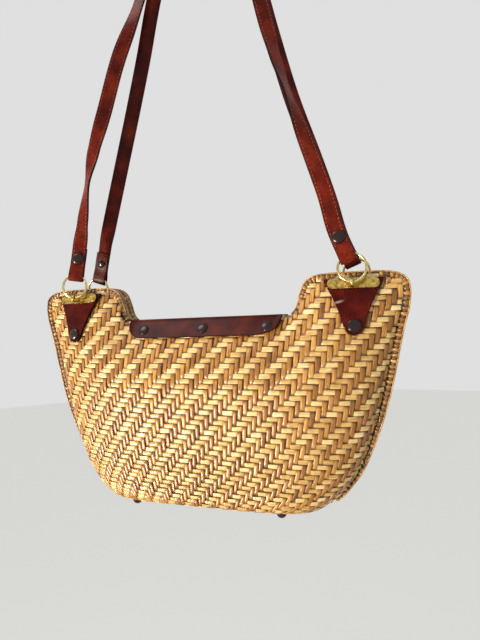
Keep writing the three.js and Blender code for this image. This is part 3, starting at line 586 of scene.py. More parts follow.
def wall_place(x, height, off=0.0, front=1):
    """Points on the wall's outer face, or off it along its normal, and the normals."""
    x, height = np.broadcast_arrays(np.asarray(x, float), np.asarray(height, float))
    slope_x = wall_depth(x + NUDGE, height) - wall_depth(x - NUDGE, height)
    slope_z = wall_depth(x, height + NUDGE) - wall_depth(x, height - NUDGE)
    normal = unit(np.stack([-slope_x, -np.ones_like(x), -slope_z], -1))
    point = np.stack([x, -wall_depth(x, height), height], -1) + normal * np.asarray(off, float)[..., None]
    flip = np.array([1, front, 1])
    return point * flip, normal * flip


print("mouth half width:", round(float(wall_half_width(0.0)), 1), "mm")

# %% [markdown]
# The weave is a 2/3 twill. Each cross strand goes over two upright strands and under three, and
# each row starts one strand further left, which draws the diagonal stairs. The grid follows the
# wall: columns share out each level section's length, so they draw together where the bag
# narrows, and rows run on round the base's edge to the middle of the underside.

# %% Grid of the weave
COLUMNS = 73
EAR_ROWS = 9
ROW_PITCH = (3.95, 3.0)
ROW_PITCH_CHANGES = (20, 44)
EDGE_RUN = BASE_EDGE_RADIUS * math.pi / 2
WALL_RUN = BODY_HEIGHT - BASE_EDGE_RADIUS
BASE_RUN = BULGE_DEPTH - BASE_EDGE_RADIUS
MOST_ROWS = 70
SUBROWS = 4
SECTION_STEPS = 401
SEAM_TUCK = 1.6

row_marks = np.arange(-EAR_ROWS * SUBROWS, MOST_ROWS * SUBROWS) / SUBROWS
pitches = between(ROW_PITCH, smoothstep(row_marks, *ROW_PITCH_CHANGES))
row_runs = np.concatenate([[0], np.cumsum(pitches[:-1] / SUBROWS)])
row_runs -= np.interp(0, row_marks, row_runs)
kept_rows = row_runs <= WALL_RUN + EDGE_RUN + BASE_RUN
row_marks, row_runs = row_marks[kept_rows], row_runs[kept_rows]
ROWS_BELOW = row_marks[-1]


def section_points(run):
    """Points of one level section, at each half column, at a run down the wall and under it."""
    round_the_edge = np.clip((run - WALL_RUN) / BASE_EDGE_RADIUS, 0, math.pi / 2)
    height = -min(run, WALL_RUN) - BASE_EDGE_RADIUS * math.sin(round_the_edge)
    inset = BASE_EDGE_RADIUS * (1 - math.cos(round_the_edge))
    reach = wall_half_width(height) + SEAM_TUCK - inset
    x = reach * np.sin(np.linspace(-math.pi / 2, math.pi / 2, SECTION_STEPS))
    depth = wall_depth(x, height)
    depth = depth - np.maximum(inset * depth / BULGE_DEPTH, inset * SEAM_DRAWN_IN)
    lengths = path_lengths(np.stack([x, depth], 1))
    even = np.linspace(0, lengths[-1], 2 * COLUMNS + 1)
    under = np.clip((run - WALL_RUN - EDGE_RUN) / BASE_RUN, 0, 1)
    x, depth = np.interp(even, lengths, x), np.interp(even, lengths, depth) * (1 - under)
    return np.stack([x, -depth, np.full_like(x, height)], 1)


wall_grid = np.stack([section_points(run) for run in row_runs])
across_grid, down_grid = np.gradient(wall_grid, axis=1), np.gradient(wall_grid, axis=0)
normal_grid = unit(np.cross(across_grid, down_grid))
normal_grid *= np.where(normal_grid[len(row_marks) // 2, COLUMNS, 1] > 0, -1, 1)


def on_grid(grid, column, row):
    """Bilinear value of a grid at fractional columns and rows of the weave."""
    i = np.clip((np.asarray(row, float) - row_marks[0]) * SUBROWS, 0, len(row_marks) - 1.001)
    j = np.clip(np.asarray(column, float) * 2, 0, 2 * COLUMNS - 0.001)
    i0, j0 = i.astype(int), j.astype(int)
    fi, fj = (i - i0)[..., None], (j - j0)[..., None]
    return ((grid[i0, j0] * (1 - fj) + grid[i0, j0 + 1] * fj) * (1 - fi)
            + (grid[i0 + 1, j0] * (1 - fj) + grid[i0 + 1, j0 + 1] * fj) * fi)


print("rows below the mouth:", ROWS_BELOW, "grid:", wall_grid.shape)

# %% [markdown]
# The ears end under the rolled edge, so strands stop where they leave an outline that is drawn
# in from the silhouette. Where the mouth is low, they stop under the leather binding.

# %% Where strands end
TUCKED_IN = 3.4
TOP_UNDER_BINDING = -1.8
MOUTH_REACH = 66
EAR_EDGE_FROM, EDGE_LEAVES_AT = -5, -8
FAR_BELOW = -400

runs = unit(np.gradient(outline, axis=0))
inner_edge = outline + np.stack([runs[:, 1], -runs[:, 0]], 1) * TUCKED_IN
ear_edge = inner_edge[inner_edge[:, 1] > EAR_EDGE_FROM]
right_half = np.vstack([[[MOUTH_REACH, TOP_UNDER_BINDING]], ear_edge,
                        [[HALF_WIDTH, EDGE_LEAVES_AT], [HALF_WIDTH, FAR_BELOW]]])
trim = np.vstack([right_half, right_half[::-1] * (-1, 1)])


def is_inside(x, height):
    """Whether points lie in the trimmed outline of the wall."""
    x, height = np.asarray(x, float), np.asarray(height, float)
    inside = np.zeros(x.shape, bool)
    for (x0, z0), (x1, z1) in zip(trim, np.roll(trim, -1, 0)):
        if z0 == z1:
            continue
        crosses = (z0 > height) != (z1 > height)
        inside ^= crosses & (x < (x1 - x0) * (height - z0) / (z1 - z0) + x0)
    return inside


# %% [markdown]
# Every strand gets small faults of its own: width, lean, wander and tone. A perfect grid looks
# like plastic. The numbers are drawn from one seed, so each run gives the same bag. Widths,
# wander and jitter are in shares of the strands' pitch, the rest in millimetres. A cross strand
# stays on top a little past each crossing, so it shows longer than the two strands it goes over.

# %% Strands
STRAND_HALF_WIDTH = 0.462
STRAND_HALF_THICKNESS = 0.28
WAVE = 0.5
FLOAT_CROWN = 0.26
MIDDLE_OF_WALL = -0.95
SAMPLES = 3
PERIOD = 5
CROSS_OVER = 2
CROSS_LINGERS = 0.17
TURNS_OVER = (0.22, 0.78)
DIVE_SHADE_RANGE = (-0.75, 0.35)
WANDER, LEAN, JITTER, JITTER_EVERY = 0.035, 0.05, 0.03, 6
STRAND_TONE = (0.5, 0.2)
WIDTH_VARIES = (0.93, 1.03)
TONE_STEP = 0.001
FEWEST_SAMPLES = 4
chance = np.random.default_rng(11)


def crossing_state(column, row):
    """1 where the upright strand is on top, -1 where the cross strand is."""
    return np.where((np.floor(column) + np.floor(row)) % PERIOD < CROSS_OVER, -1.0, 1.0)


def strand_lift(position, state_at):
    """Height of a strand between crossings, in shares of the wave, and its mean over four cells."""
    cell = np.floor(position - 0.5)
    late = CROSS_LINGERS * np.sign(state_at(cell + 1) - state_at(cell))
    share = smoothstep(position - 0.5 - cell - late, *TURNS_OVER)
    lift = state_at(cell) * (1 - share) + state_at(cell + 1) * share
    crown = (state_at(cell - 1) + state_at(cell) + state_at(cell + 1) + state_at(cell + 2)) / 4
    return lift, crown


def stretches(mask):
    """Start and end of each run of True that is long enough for a strand."""
    edges = np.flatnonzero(np.diff(np.concatenate([[0], mask.astype(int), [0]])))
    return [(a, b) for a, b in zip(edges[::2], edges[1::2]) if b - a >= FEWEST_SAMPLES]


def woven_strands(front, upright):
    """All upright or all cross strands of one face of the bag, joined."""
    parts = []
    flip = np.array([1, front, 1])
    count = COLUMNS if upright else int(EAR_ROWS + ROWS_BELOW)
    for number in range(count):
        wander, lean, tone = chance.normal(0, WANDER), chance.normal(0, LEAN), chance.normal(*STRAND_TONE)
        width = STRAND_HALF_WIDTH * chance.uniform(*WIDTH_VARIES)
        if upright:
            rows = np.arange(-EAR_ROWS * SAMPLES, ROWS_BELOW * SAMPLES) / SAMPLES + 0.5 / SAMPLES
            columns = np.full_like(rows, number + 0.5 + wander)
            lift, crown = strand_lift(rows, lambda cell: crossing_state(number, cell))
            sign = 1
        else:
            row = number - EAR_ROWS
            columns = np.arange(0, COLUMNS * SAMPLES) / SAMPLES + 0.5 / SAMPLES
            rows = np.full_like(columns, row + 0.5 + wander)
            lift, crown = strand_lift(columns, lambda cell: crossing_state(cell, row))
            sign = -1
        knots = np.arange(0, len(rows) + JITTER_EVERY, JITTER_EVERY)
        jitter = np.interp(np.arange(len(rows)), knots, chance.normal(0, JITTER, len(knots)))
        if upright:
            columns = columns + jitter
        else:
            rows = rows + jitter
        points, normals = on_grid(wall_grid, columns, rows), unit(on_grid(normal_grid, columns, rows))
        sideways = on_grid(across_grid if upright else down_grid, columns, rows)
        pitch = np.linalg.norm(sideways, axis=1) * (2 if upright else SUBROWS)
        raised = MIDDLE_OF_WALL + sign * (WAVE * lift + FLOAT_CROWN * np.maximum(sign * crown, 0) * sign)
        points = points + normals * raised[:, None]
        up = normals + unit(sideways) * lean
        # Painted shade: how far the strand has dived under its neighbours, which darkens its colour there.
        dive_shade = smoothstep(-sign * lift, *DIVE_SHADE_RANGE)
        for start, end in stretches(is_inside(points[:, 0], points[:, 2])):
            part = slice(start, end)
            parts.append(ribbon(points[part] * flip, up[part] * flip, STRAND_SECTION,
                                width * pitch[part], STRAND_HALF_THICKNESS,
                                np.clip(tone, 0, 1) + TONE_STEP * number, dive_shade[part]))
    return joined(parts)


for word, front in FACES:
    for kind, upright, finish in (("uprights", True, golden_warp_straw_with_painted_shade), ("crosses", False, weft_straw)):
        name = f"woven_{kind}_{word}"
        piece = build(name, woven_strands(front, upright), finish, ["basket_shell"])
        print(name, len(piece.data.polygons), "faces")

# %% [markdown]
# The rolled edge is a bundle of straw along the silhouette, whipped over with narrow strands at
# about 4 mm, and thinner toward the base. From the front it shows as a smooth outer band, then a
# row of small nubs with dark gaps where the strands go into the weave. It is built the way it is
# made: a core, stitches that wrap it and narrow where they go in, and bands laid on top.

# %% Rolled edges
STITCH_PITCH = 3.9
STITCH_HALF_WIDTHS = (0.8, 1.62)
STITCH_HALF_THICKNESS = 0.42
STITCH_SLANT = 0.9
STITCH_BITE = 0.7
BAND_HALF_WIDTH = 1.1
BAND_HALF_THICKNESS = 0.5
BANDS = [(0.5, 0.72), (0.45, 0.1), (0.5, -0.6)]
BANDS_START = (16, 46)
BANDS_START_WIDTH = 0.35
BAND_WOBBLE, BAND_WOBBLE_EVERY = 0.12, 12
CORE_SHRINK, CORE_TONE = 0.8, 0.4
STATION_STEP = 2.0
STITCH_STEPS = 18
STITCH_WANDER, STITCH_SLANT_VARIES = 0.25, 0.3
STITCH_BITE_VARIES, STITCH_WIDTH_VARIES = (0.6, 1.6), (0.85, 1.08)
STITCH_SUNK, BAND_SUNK = 0.35, 0.6
STITCH_INSET, STITCH_SWELLS, STITCH_TUCK_SHADE = 0.4, (0.75, 1), 0.85
STITCH_TONES, BAND_TONES = (0.1, 0.9), (0.3, 0.8)


def rolled_edge(name, front, side):
    run = path_lengths(outline)
    stations = np.arange(0, run[-1], STATION_STEP)
    edge_path = along_path(outline, stations)
    tangents = unit(np.gradient(edge_path, axis=0))
    inward = np.stack([tangents[:, 1], -tangents[:, 0]], 1)
    width, depth = (roll_size(sizes, edge_path[:, 1]) for sizes in (ROLL_WIDTHS, ROLL_DEPTHS))
    middle_y = (ROLL_SPLIT + depth) / 2
    away = np.stack([-inward[:, 0] * side, np.zeros(len(stations)), -inward[:, 1]], 1)

    def place(into, y):
        flat = edge_path + inward * np.asarray(into)[:, None]
        return np.stack([flat[:, 0] * side, -front * y, flat[:, 1]], 1)

    core = ribbon(place(width / 2, middle_y), away, round_section(12),
                  depth / 2 * CORE_SHRINK, width / 2 * CORE_SHRINK, CORE_TONE)
    build(f"edge_core_{name}", core, core_straw, [f"edge_roll_{name}"])

    stitches = []
    turns = around(STITCH_STEPS)
    outward_share = (1 + np.cos(turns)) / 2
    for middle in np.arange(3, run[-1] - 1, STITCH_PITCH):
        start = (middle + chance.normal(0, STITCH_WANDER)) / STATION_STEP
        slant = STITCH_SLANT + chance.normal(0, STITCH_SLANT_VARIES)
        index = np.clip(start + slant * np.sin(turns) / STATION_STEP, 0, len(stations) - 1.01)
        low = index.astype(int)
        share = (index - low)[:, None]
        base = edge_path[low] * (1 - share) + edge_path[low + 1] * share
        into = inward[low] * (1 - share) + inward[low + 1] * share
        across, deep, at_y = width[low[0]], depth[low[0]], middle_y[low[0]]
        bite = STITCH_BITE * chance.uniform(*STITCH_BITE_VARIES)
        inset = STITCH_INSET + (across - STITCH_INSET + bite) / 2 * (1 - np.cos(turns))
        flat = base + into * inset[:, None]
        loop_y = at_y + (deep / 2 - STITCH_SUNK) * np.sin(turns) * between(STITCH_SWELLS, outward_share)
        path = np.stack([flat[:, 0] * side, -front * loop_y, flat[:, 1]], 1)
        wide = between(STITCH_HALF_WIDTHS, outward_share) * chance.uniform(*STITCH_WIDTH_VARIES)
        # Painted shade: each stitch darkens toward its inner ends, where it goes into the weave.
        stitches.append(ribbon(path, path - path.mean(0), STRAND_SECTION, wide, STITCH_HALF_THICKNESS,
                               chance.uniform(*STITCH_TONES), STITCH_TUCK_SHADE * (1 - outward_share) ** 3,
                               loop=True))
    build(f"edge_stitches_{name}", joined(stitches), edge_straw)

    bands = []
    for into, y_share in BANDS:
        knots = np.arange(0, run[-1] + BAND_WOBBLE_EVERY, BAND_WOBBLE_EVERY)
        wobble = np.interp(stations, knots, chance.normal(0, BAND_WOBBLE, len(knots)))
        started = BANDS_START_WIDTH + (1 - BANDS_START_WIDTH) * smoothstep(stations, *BANDS_START)
        path = place(into + wobble / 2, middle_y + (depth / 2 - BAND_SUNK) * y_share + wobble)
        bands.append(ribbon(path, away, STRAND_SECTION, BAND_HALF_WIDTH * started * width / ROLL_WIDTHS[0],
                            BAND_HALF_THICKNESS, chance.uniform(*BAND_TONES)))
    build(f"edge_bands_{name}", joined(bands), edge_straw)


for name, front, side in CORNERS:
    rolled_edge(name, front, side)
print("rolled edges: core, stitches and bands on", len(CORNERS), "corners")

# %% [markdown]
# The mouth's binding is one leather strip, folded over both layers of the rim and riveted. Its
# ends are cut round. The sheet is a grid of the outer face, from the front edge over the fold to
# the inner edge, and the same grid one leather's thickness nearer the straw. The cut edge is
# marked, so that the material can darken it. The front leg stands a little proud of the weave,
# most at its right end. Rivets are turned about their axis.

# %% Mouth binding
BINDING_ENDS = (69, 65)
BINDING_LEG = 14.6
BINDING_LEATHER = 1.1
BINDING_END_COLUMNS = np.array([0, 0.4, 1.2, 2.5, 4.5, 7, 10, 13.5, 17])
BINDING_END_CUT = 12
BINDING_END_ROUNDS = (12, 19)
BINDING_RIVETS = (-54, 0, 54)
BINDING_RIVET_DROP = 9.8
BINDING_RIVET_HEAD, BINDING_RIVET_DOME, BINDING_RIVET_OFF = 9, 1.9, 0.1
STRAP_RIVET_HEAD, STRAP_RIVET_DOME = 10, 2.1
RIVET_SHANK, RIVET_CAP, RIVET_CAP_THICKNESS = 3, 7, 0.9
CUT_EDGE_WIDTH = 0.45
PROUD, PROUD_WAVE, PROUD_WAVE_RUN = 0.45, 0.2, 17.0
RIGHT_END_PROUD, RIGHT_END_FROM = 1.3, 30


def edge_marks(rows, columns):
    """1 on the outer face's border points and on the whole inner face, 0 elsewhere."""
    mark = np.zeros((rows, columns))
    mark[[0, -1], :] = 1
    mark[:, [0, -1]] = 1
    return np.concatenate([mark.ravel(), np.ones(rows * columns)])


def binding(front):
    rim = -BINDING_LEATHER - CLEARANCE
    x = np.concatenate([BINDING_END_COLUMNS - BINDING_ENDS[0], np.linspace(-48, 44, 36),
                        BINDING_ENDS[1] - BINDING_END_COLUMNS[::-1]])
    from_end = np.where(x < 0, x + BINDING_ENDS[0], BINDING_ENDS[1] - x)
    lost = np.clip(1 - from_end / np.where(x < 0, *BINDING_END_ROUNDS), 0, 1)
    arc = BINDING_END_CUT * (1 - np.sqrt(1 - lost ** 2))
    leg = BINDING_LEG - arc
    proud = (PROUD + PROUD_WAVE * np.sin(x / PROUD_WAVE_RUN)
             + RIGHT_END_PROUD * smoothstep(x, RIGHT_END_FROM, BINDING_ENDS[1]))

    def face(off):
        shares = [1, 1 - CUT_EDGE_WIDTH / BINDING_LEG, 0.85, 0.6, 0.35, 0.15, 0.04]
        fronts = [wall_place(x, rim - share * leg, LAID_CLEARANCE + off + share ** 2 * proud, front)[0]
                  for share in shares]
        within = -STRAW_WALL - LAID_CLEARANCE - off
        inners = [wall_place(x, rim - share * BINDING_LEG, within, front)[0] for share in reversed(shares)]
        middle, half = (fronts[-1] + inners[0]) / 2, (fronts[-1] - inners[0]) / 2
        rise = np.array([0, 0, 1]) * (rim + CLEARANCE + off - middle[:, 2:])
        fold = [middle + half * math.cos(turn) + rise * math.sin(turn)
                for turn in np.linspace(0, math.pi, 7)[1:-1]]
        return np.stack(fronts + fold + inners)

    outer, inner = face(BINDING_LEATHER), face(0)
    if front > 0:
        outer, inner = outer[:, ::-1], inner[:, ::-1]
    return sheet(outer, inner), edge_marks(*outer.shape[:2])


def lathe(profile, place, normal, steps=32):
    """A profile of (radius, height) pairs turned about a normal."""
    axis = Vector(normal).to_track_quat("Z", "Y").to_matrix()
    turn = around(steps)
    profile = np.asarray(profile, float)
    radii, heights = profile[:, 0], profile[:, 1]
    flat = np.stack([radii[:, None] * np.cos(turn), radii[:, None] * np.sin(turn),
                     np.broadcast_to(heights[:, None], (len(radii), steps))], -1)
    points = flat.reshape(-1, 3) @ np.array(axis).T + np.asarray(place)
    return points, tube_faces(len(radii), steps), np.zeros((len(points), 4))


def rivet(name, place, normal, head, dome, grip, cap=RIVET_CAP):
    """A domed rivet: from its cap inside, along its shank, to its rolled rim and dome outside."""
    radius = head / 2
    rim = [(radius - 0.5, -0.05), (radius - 0.12, 0.05), (radius, 0.3), (radius - 0.1, 0.55)]
    curve = [(radius * math.cos(t), 0.5 + (dome - 0.5) * math.sin(t)) for t in np.linspace(0.35, 1.5, 9)]
    end = -grip - RIVET_CAP_THICKNESS
    profile = ([(0.2, end), (cap / 2 - 0.3, end), (cap / 2, end + 0.3), (cap / 2, -grip),
                (RIVET_SHANK / 2, -grip), (RIVET_SHANK / 2, -0.05)] + rim + curve + [(0.15, dome)])
    return build(f"{name}_domed", lathe(profile, place, normal), lacquered_steel,
                 [name])


for word, front in FACES:
    shape, marks = binding(front)
    build(f"folded_binding_{word}", shape, binding_leather, [f"mouth_binding_{word}"], marks,
          bevel=0.3)
    for number, x in enumerate(BINDING_RIVETS, 1):
        off = LAID_CLEARANCE + BINDING_LEATHER
        place, normal = wall_place(x, -BINDING_RIVET_DROP, off + BINDING_RIVET_OFF, front)
        rivet(f"binding_rivet_{word}_{number}", place, normal, BINDING_RIVET_HEAD, BINDING_RIVET_DOME,
              2 * (off + CLEARANCE) + STRAW_WALL)
print("bindings with", 2 * len(BINDING_RIVETS), "rivets")

# %% [markdown]
# Each ear carries a leather tab, cut as a tapered tongue with a round tip. It lies on the weave
# and follows its bulge. A brass plate with round ends lies across its top, and the plate's lug
# holds the ring. The plate is plain.

# %% Tabs, plates and lugs
RING_X = 120
TAB_TOP, TAB_TIP = 24.2, -17.7
TAB_WIDTHS = (45, 13)
TAB_TAPER_END, TAB_WAIST = 0.9, 1.6
TAB_LEATHER, TAB_CORNER, TAB_SWELL = 1.8, 0.05, 0.35
TAB_RIVET_HEIGHT, TAB_RIVET_OFF = -10.8, 0.25
PLATE_HEIGHT, PLATE_LENGTH, PLATE_WIDTH, PLATE_THICKNESS = 20.1, 37.2, 7.5, 1.1
PLATE_END_HALF_WIDTH, PLATE_DISH = 0.35, 0.22
PLATE_OFF = LAID_CLEARANCE + TAB_LEATHER + CLEARANCE
LUG_BORE, LUG_WIRE, LUG_REACH, LUG_LENGTH = 3.8, 1.3, 1.4, 2
LUG_STEPS, RING_STEPS = 28, 72


def tab_half_width(share):
    tapered = np.minimum(share / TAB_TAPER_END, 1)
    side = between(TAB_WIDTHS, tapered) / 2 - TAB_WAIST * np.sin(math.pi * tapered)
    to_tip, radius = (1 - share) * (TAB_TOP - TAB_TIP), TAB_WIDTHS[1] / 2
    tip = np.sqrt(np.maximum(radius ** 2 - np.maximum(radius - to_tip, 0) ** 2, 0.02))
    return np.minimum(side, np.where(to_tip >= radius, side, tip))


def tab(front, side):
    tip = 1 - 0.16 * np.cos(np.linspace(0.2, 1.5, 12))
    down = np.concatenate([[0, 0.02, 0.05], np.linspace(0.1, 0.82, 16), tip])
    down[-1] = 1.0
    across = np.array([-1, -0.96, -0.85, -0.6, -0.3, 0, 0.3, 0.6, 0.85, 0.96, 1])
    corner = 1 - TAB_CORNER * np.clip(1 - down / TAB_CORNER, 0, 1) ** 2
    x = side * RING_X + front * (tab_half_width(down) * corner)[:, None] * across
    height = (TAB_TOP + (TAB_TIP - TAB_TOP) * down)[:, None] + 0 * x
    lifted = TAB_SWELL * (1 - across ** 2) * np.sin(math.pi * down)[:, None]
    outer = wall_place(x, height, LAID_CLEARANCE + TAB_LEATHER + lifted, front)[0]
    inner = wall_place(x, height, LAID_CLEARANCE + 0 * x, front)[0]
    return sheet(outer, inner), edge_marks(*outer.shape[:2])


def plate(front, side):
    half = PLATE_LENGTH / 2
    turn = np.linspace(0, math.pi / 2, 9)
    round_end = PLATE_WIDTH / 2 * (1 - np.cos(turn))
    x = np.concatenate([-half + round_end, np.linspace(-half + 5, half - 5, 16), (half - round_end)[::-1]])
    end = np.clip(PLATE_WIDTH / 2 - (half - np.abs(x)), 0, None)
    tall = np.maximum(np.sqrt((PLATE_WIDTH / 2) ** 2 - end ** 2), PLATE_END_HALF_WIDTH)
    up = np.array([1, 0.9, 0.6, 0, -0.6, -0.9, -1])
    height = PLATE_HEIGHT + tall * up[:, None]
    across = side * RING_X + front * x + 0 * height
    dish = PLATE_DISH * (1 - np.abs(up)[:, None] ** 4) * (tall / tall.max())
    outer = wall_place(across, height, PLATE_OFF + PLATE_THICKNESS - dish, front)[0]
    inner = wall_place(across, height, PLATE_OFF + 0 * across, front)[0]
    return sheet(outer, inner)


def lug_place(front, side):
    place = wall_place(side * RING_X, PLATE_HEIGHT, PLATE_OFF + PLATE_THICKNESS, front)[0]
    place[1] -= front * ((LUG_BORE / 2 + LUG_WIRE) * LUG_REACH - CLEARANCE)
    return place


def lug(front, side):
    """A flat wire loop round the ring, its legs going into the plate."""
    turn = around(LUG_STEPS)
    radius = (LUG_BORE + LUG_WIRE) / 2
    away = np.stack([np.zeros(LUG_STEPS), np.cos(turn) * LUG_REACH, np.sin(turn)], 1)
    section = np.array([(-1, -0.7), (-1, 0.7), (-0.8, 1), (0.8, 1), (1, 0.7), (1, -0.7), (0.8, -1),
                        (-0.8, -1)])
    return ribbon(lug_place(front, side) + away * radius, away, section, LUG_LENGTH / 2, LUG_WIRE / 2,
                  loop=True)


RIVET_SEAT = LAID_CLEARANCE + TAB_LEATHER
for name, front, side in CORNERS:
    shape, marks = tab(front, side)
    hide = scuffed_leather if name == "front_right" else tab_leather
    build(f"leather_tongue_{name}", shape, hide, [f"leather_tab_{name}"], marks, bevel=0.4)
    build(f"plain_plate_{name}", plate(front, side), aged_brass, [f"brass_plate_{name}"],
          bevel=0.3)
    build(f"ring_lug_{name}", lug(front, side), aged_brass)
    place, normal = wall_place(side * RING_X, TAB_RIVET_HEIGHT, RIVET_SEAT + TAB_RIVET_OFF, front)
    rivet(f"tab_rivet_{name}", place, normal, STRAP_RIVET_HEAD, STRAP_RIVET_DOME,
          RIVET_SEAT + STRAW_WALL + LAID_CLEARANCE)
print("tabs, plates and lugs on", len(CORNERS), "corners")

# %% [markdown]
# The rings are drawn brass wire, bent round and closed. Each rests on the top of its lug's hole,
# turned and leaning the way it hangs in the photograph.

# %% Rings
RING_RADIUS, RING_WIRE = 10.2, 2
RING_STANDS = {"front_left": (20, 4), "front_right": (0, 4), "back_left": (0, 11), "back_right": (0, 11)}


def ring_frame(name, front, side):
    """Centre, up direction and plane normal of a ring."""
    turn, lean = RING_STANDS[name]
    rotation = np.array(Matrix.Rotation(math.radians(turn), 3, "Z")
                        @ Matrix.Rotation(math.radians(-front * lean), 3, "X"))
    seat = lug_place(front, side) + (0, 0, (LUG_BORE - RING_WIRE) / 2 - CLEARANCE)
    up, plane = rotation @ (0, 0, 1), rotation @ (0, 1, 0)
    return seat + up * RING_RADIUS, up, plane, rotation @ (1, 0, 0)


for name, front, side in CORNERS:
    centre, up, plane, right = ring_frame(name, front, side)
    turn = around(RING_STEPS)
    away = np.cos(turn)[:, None] * right + np.sin(turn)[:, None] * up
    wire = ribbon(centre + away * RING_RADIUS, away, round_section(14), RING_WIRE / 2, RING_WIRE / 2,
                  loop=True)
    build(f"wire_ring_{name}", wire, ring_brass, [f"ring_{name}"])

# %% [markdown]
# The straps are flat leather, 12.5 mm wide. Each end goes through its ring, folds back on itself
# and is riveted. On their way up they twist, so the face, the thin edge and the back take turns
# to show. A route lists height as a share of the way from ring to hook, spread as a share of the
# rings' own, and turn in degrees.

# %% Straps
STRAP_WIDTH, STRAP_LEATHER, STRAP_TAIL = 12.5, 1.6, 27
STRAP_STRAIGHT, STRAP_SEAT_SLACK, STRAP_GAP = 24, 0.6, 0.8
STRAP_RIVET_RISE = 17
FOLD_CLOSES, TAIL_FADE = (2, 12), 14
STRAP_EDGE_FROM_TO = (0.93, 0.99)
HOOK_RADIUS = 8
HOOK_TURNS = (62, 32, 0)
STRAP_ROUTES = {
    "front_left": [(0.08, 0.96, -20), (0.14, 0.942, 8), (0.225, 0.893, 38), (0.3, 0.828, 0),
                   (0.38, 0.73, -34), (0.49, 0.6, -28), (0.6, 0.42, 15), (0.8, 0.17, 60), (0.93, 0.05, 86)],
    "front_right": [(0.08, 0.9, 0), (0.14, 0.855, 4), (0.23, 0.76, 28), (0.35, 0.63, 74), (0.42, 0.56, 58),
                    (0.5, 0.5, 28), (0.6, 0.42, 34), (0.8, 0.18, 66), (0.93, 0.055, 86)],
    "back_left": [(0.08, 0.91, 0), (0.15, 0.84, -30), (0.27, 0.72, -34), (0.4, 0.59, -34),
                  (0.51, 0.485, -34), (0.62, 0.39, -40), (0.8, 0.2, -66), (0.93, 0.06, -86)],
    "back_right": [(0.08, 0.9, 0), (0.14, 0.85, 8), (0.23, 0.76, 10), (0.36, 0.62, 10), (0.5, 0.5, 4),
                   (0.6, 0.42, -10), (0.8, 0.2, -60), (0.93, 0.06, -86)],
}
STRAP_HALF_FACE = [(0.78, 1), (0.84, 0.95), (0.9, 1), (0.96, 0.92), (0.995, 0.6), (1, 0), (0.99, -0.7),
                   (0.95, -1)]
STRAP_SECTION = np.array([(-across, up) for across, up in reversed(STRAP_HALF_FACE)] + [(0, 1.03)]
                         + STRAP_HALF_FACE + [(0, -1)])
FOLD_RADIUS = RING_WIRE / 2 + CLEARANCE + STRAP_LEATHER / 2


def strap_branch(name, front, side):
    """Places, face normals and directions of one branch at lengths from its ring."""
    rows = np.array(STRAP_ROUTES[name], float)
    centre, _, plane, _ = ring_frame(name, front, side)
    top = STRAP_LEATHER / 2
    way = top + HANG_DROP - centre[2]
    route = np.stack([side * rows[:, 1] * RING_X, np.full(len(rows), centre[1]),
                      centre[2] + rows[:, 0] * way], 1)
    pull = route[0] - centre
    pull = unit(pull - plane * (pull @ plane))
    foot = centre + pull * (math.sqrt(RING_RADIUS ** 2 - (STRAP_WIDTH / 2) ** 2) - STRAP_SEAT_SLACK)
    free = foot + pull * STRAP_STRAIGHT
    top_y = -front * (STRAP_WIDTH + STRAP_GAP) / 2
    share = (route[:, 2] - free[2]) / (route[-1, 2] - free[2])
    route[:, 1] = free[1] + (top_y - free[1]) * share
    radius = HOOK_RADIUS + STRAP_LEATHER / 2
    arc = [(side * radius * math.sin(t), top_y, HANG_DROP - HOOK_RADIUS + radius * math.cos(t))
           for t in np.radians(HOOK_TURNS)]
    path = smooth_path(np.vstack([[foot, free], route[1:], arc]), 24)
    total = path_lengths(path)[-1]
    turns = np.vstack([rows[:, [0, 2]], [1, 90 * np.sign(rows[-1, 2])]])

    def turn_at(height):
        rise = np.clip((height - centre[2]) / way, turns[0, 0], 1)
        low = np.clip(np.searchsorted(turns[:, 0], rise, "right") - 1, 0, len(turns) - 2)
        local = smoothstep((rise - turns[low, 0]) / (turns[low + 1, 0] - turns[low, 0]), 0, 1)
        return turns[low, 1] + (turns[low + 1, 1] - turns[low, 1]) * local

    def frame_at(lengths):
        lengths = np.asarray(lengths, float)
        point = along_path(path, lengths)
        ahead, behind = np.minimum(lengths + NUDGE, total), np.maximum(lengths - NUDGE, 0)
        up = unit(along_path(path, ahead) - along_path(path, behind))
        faced = unit(np.array([0, -1, 0]) - up * (up @ np.array([0, -1, 0]))[:, None])
        angle = side * np.radians(turn_at(point[:, 2]))[:, None]
        faced = faced * np.cos(angle) + np.cross(up, faced) * np.sin(angle)
        loose = smoothstep(lengths, STRAP_STRAIGHT, 2 * STRAP_STRAIGHT)[:, None]
        faced = faced * loose + plane * (loose - 1)
        return point, unit(faced - up * (faced * up).sum(1, keepdims=True)) * front, up

    return total, frame_at


def apart(lengths):
    """How far a folded end's two layers stand from their middle."""
    closed = (STRAP_LEATHER + CLEARANCE) / 2
    near = smoothstep(lengths, *FOLD_CLOSES)
    away = 1 - smoothstep(lengths, STRAP_TAIL, STRAP_TAIL + TAIL_FADE)
    return ((FOLD_RADIUS + (closed - FOLD_RADIUS) * near) * away)[:, None]


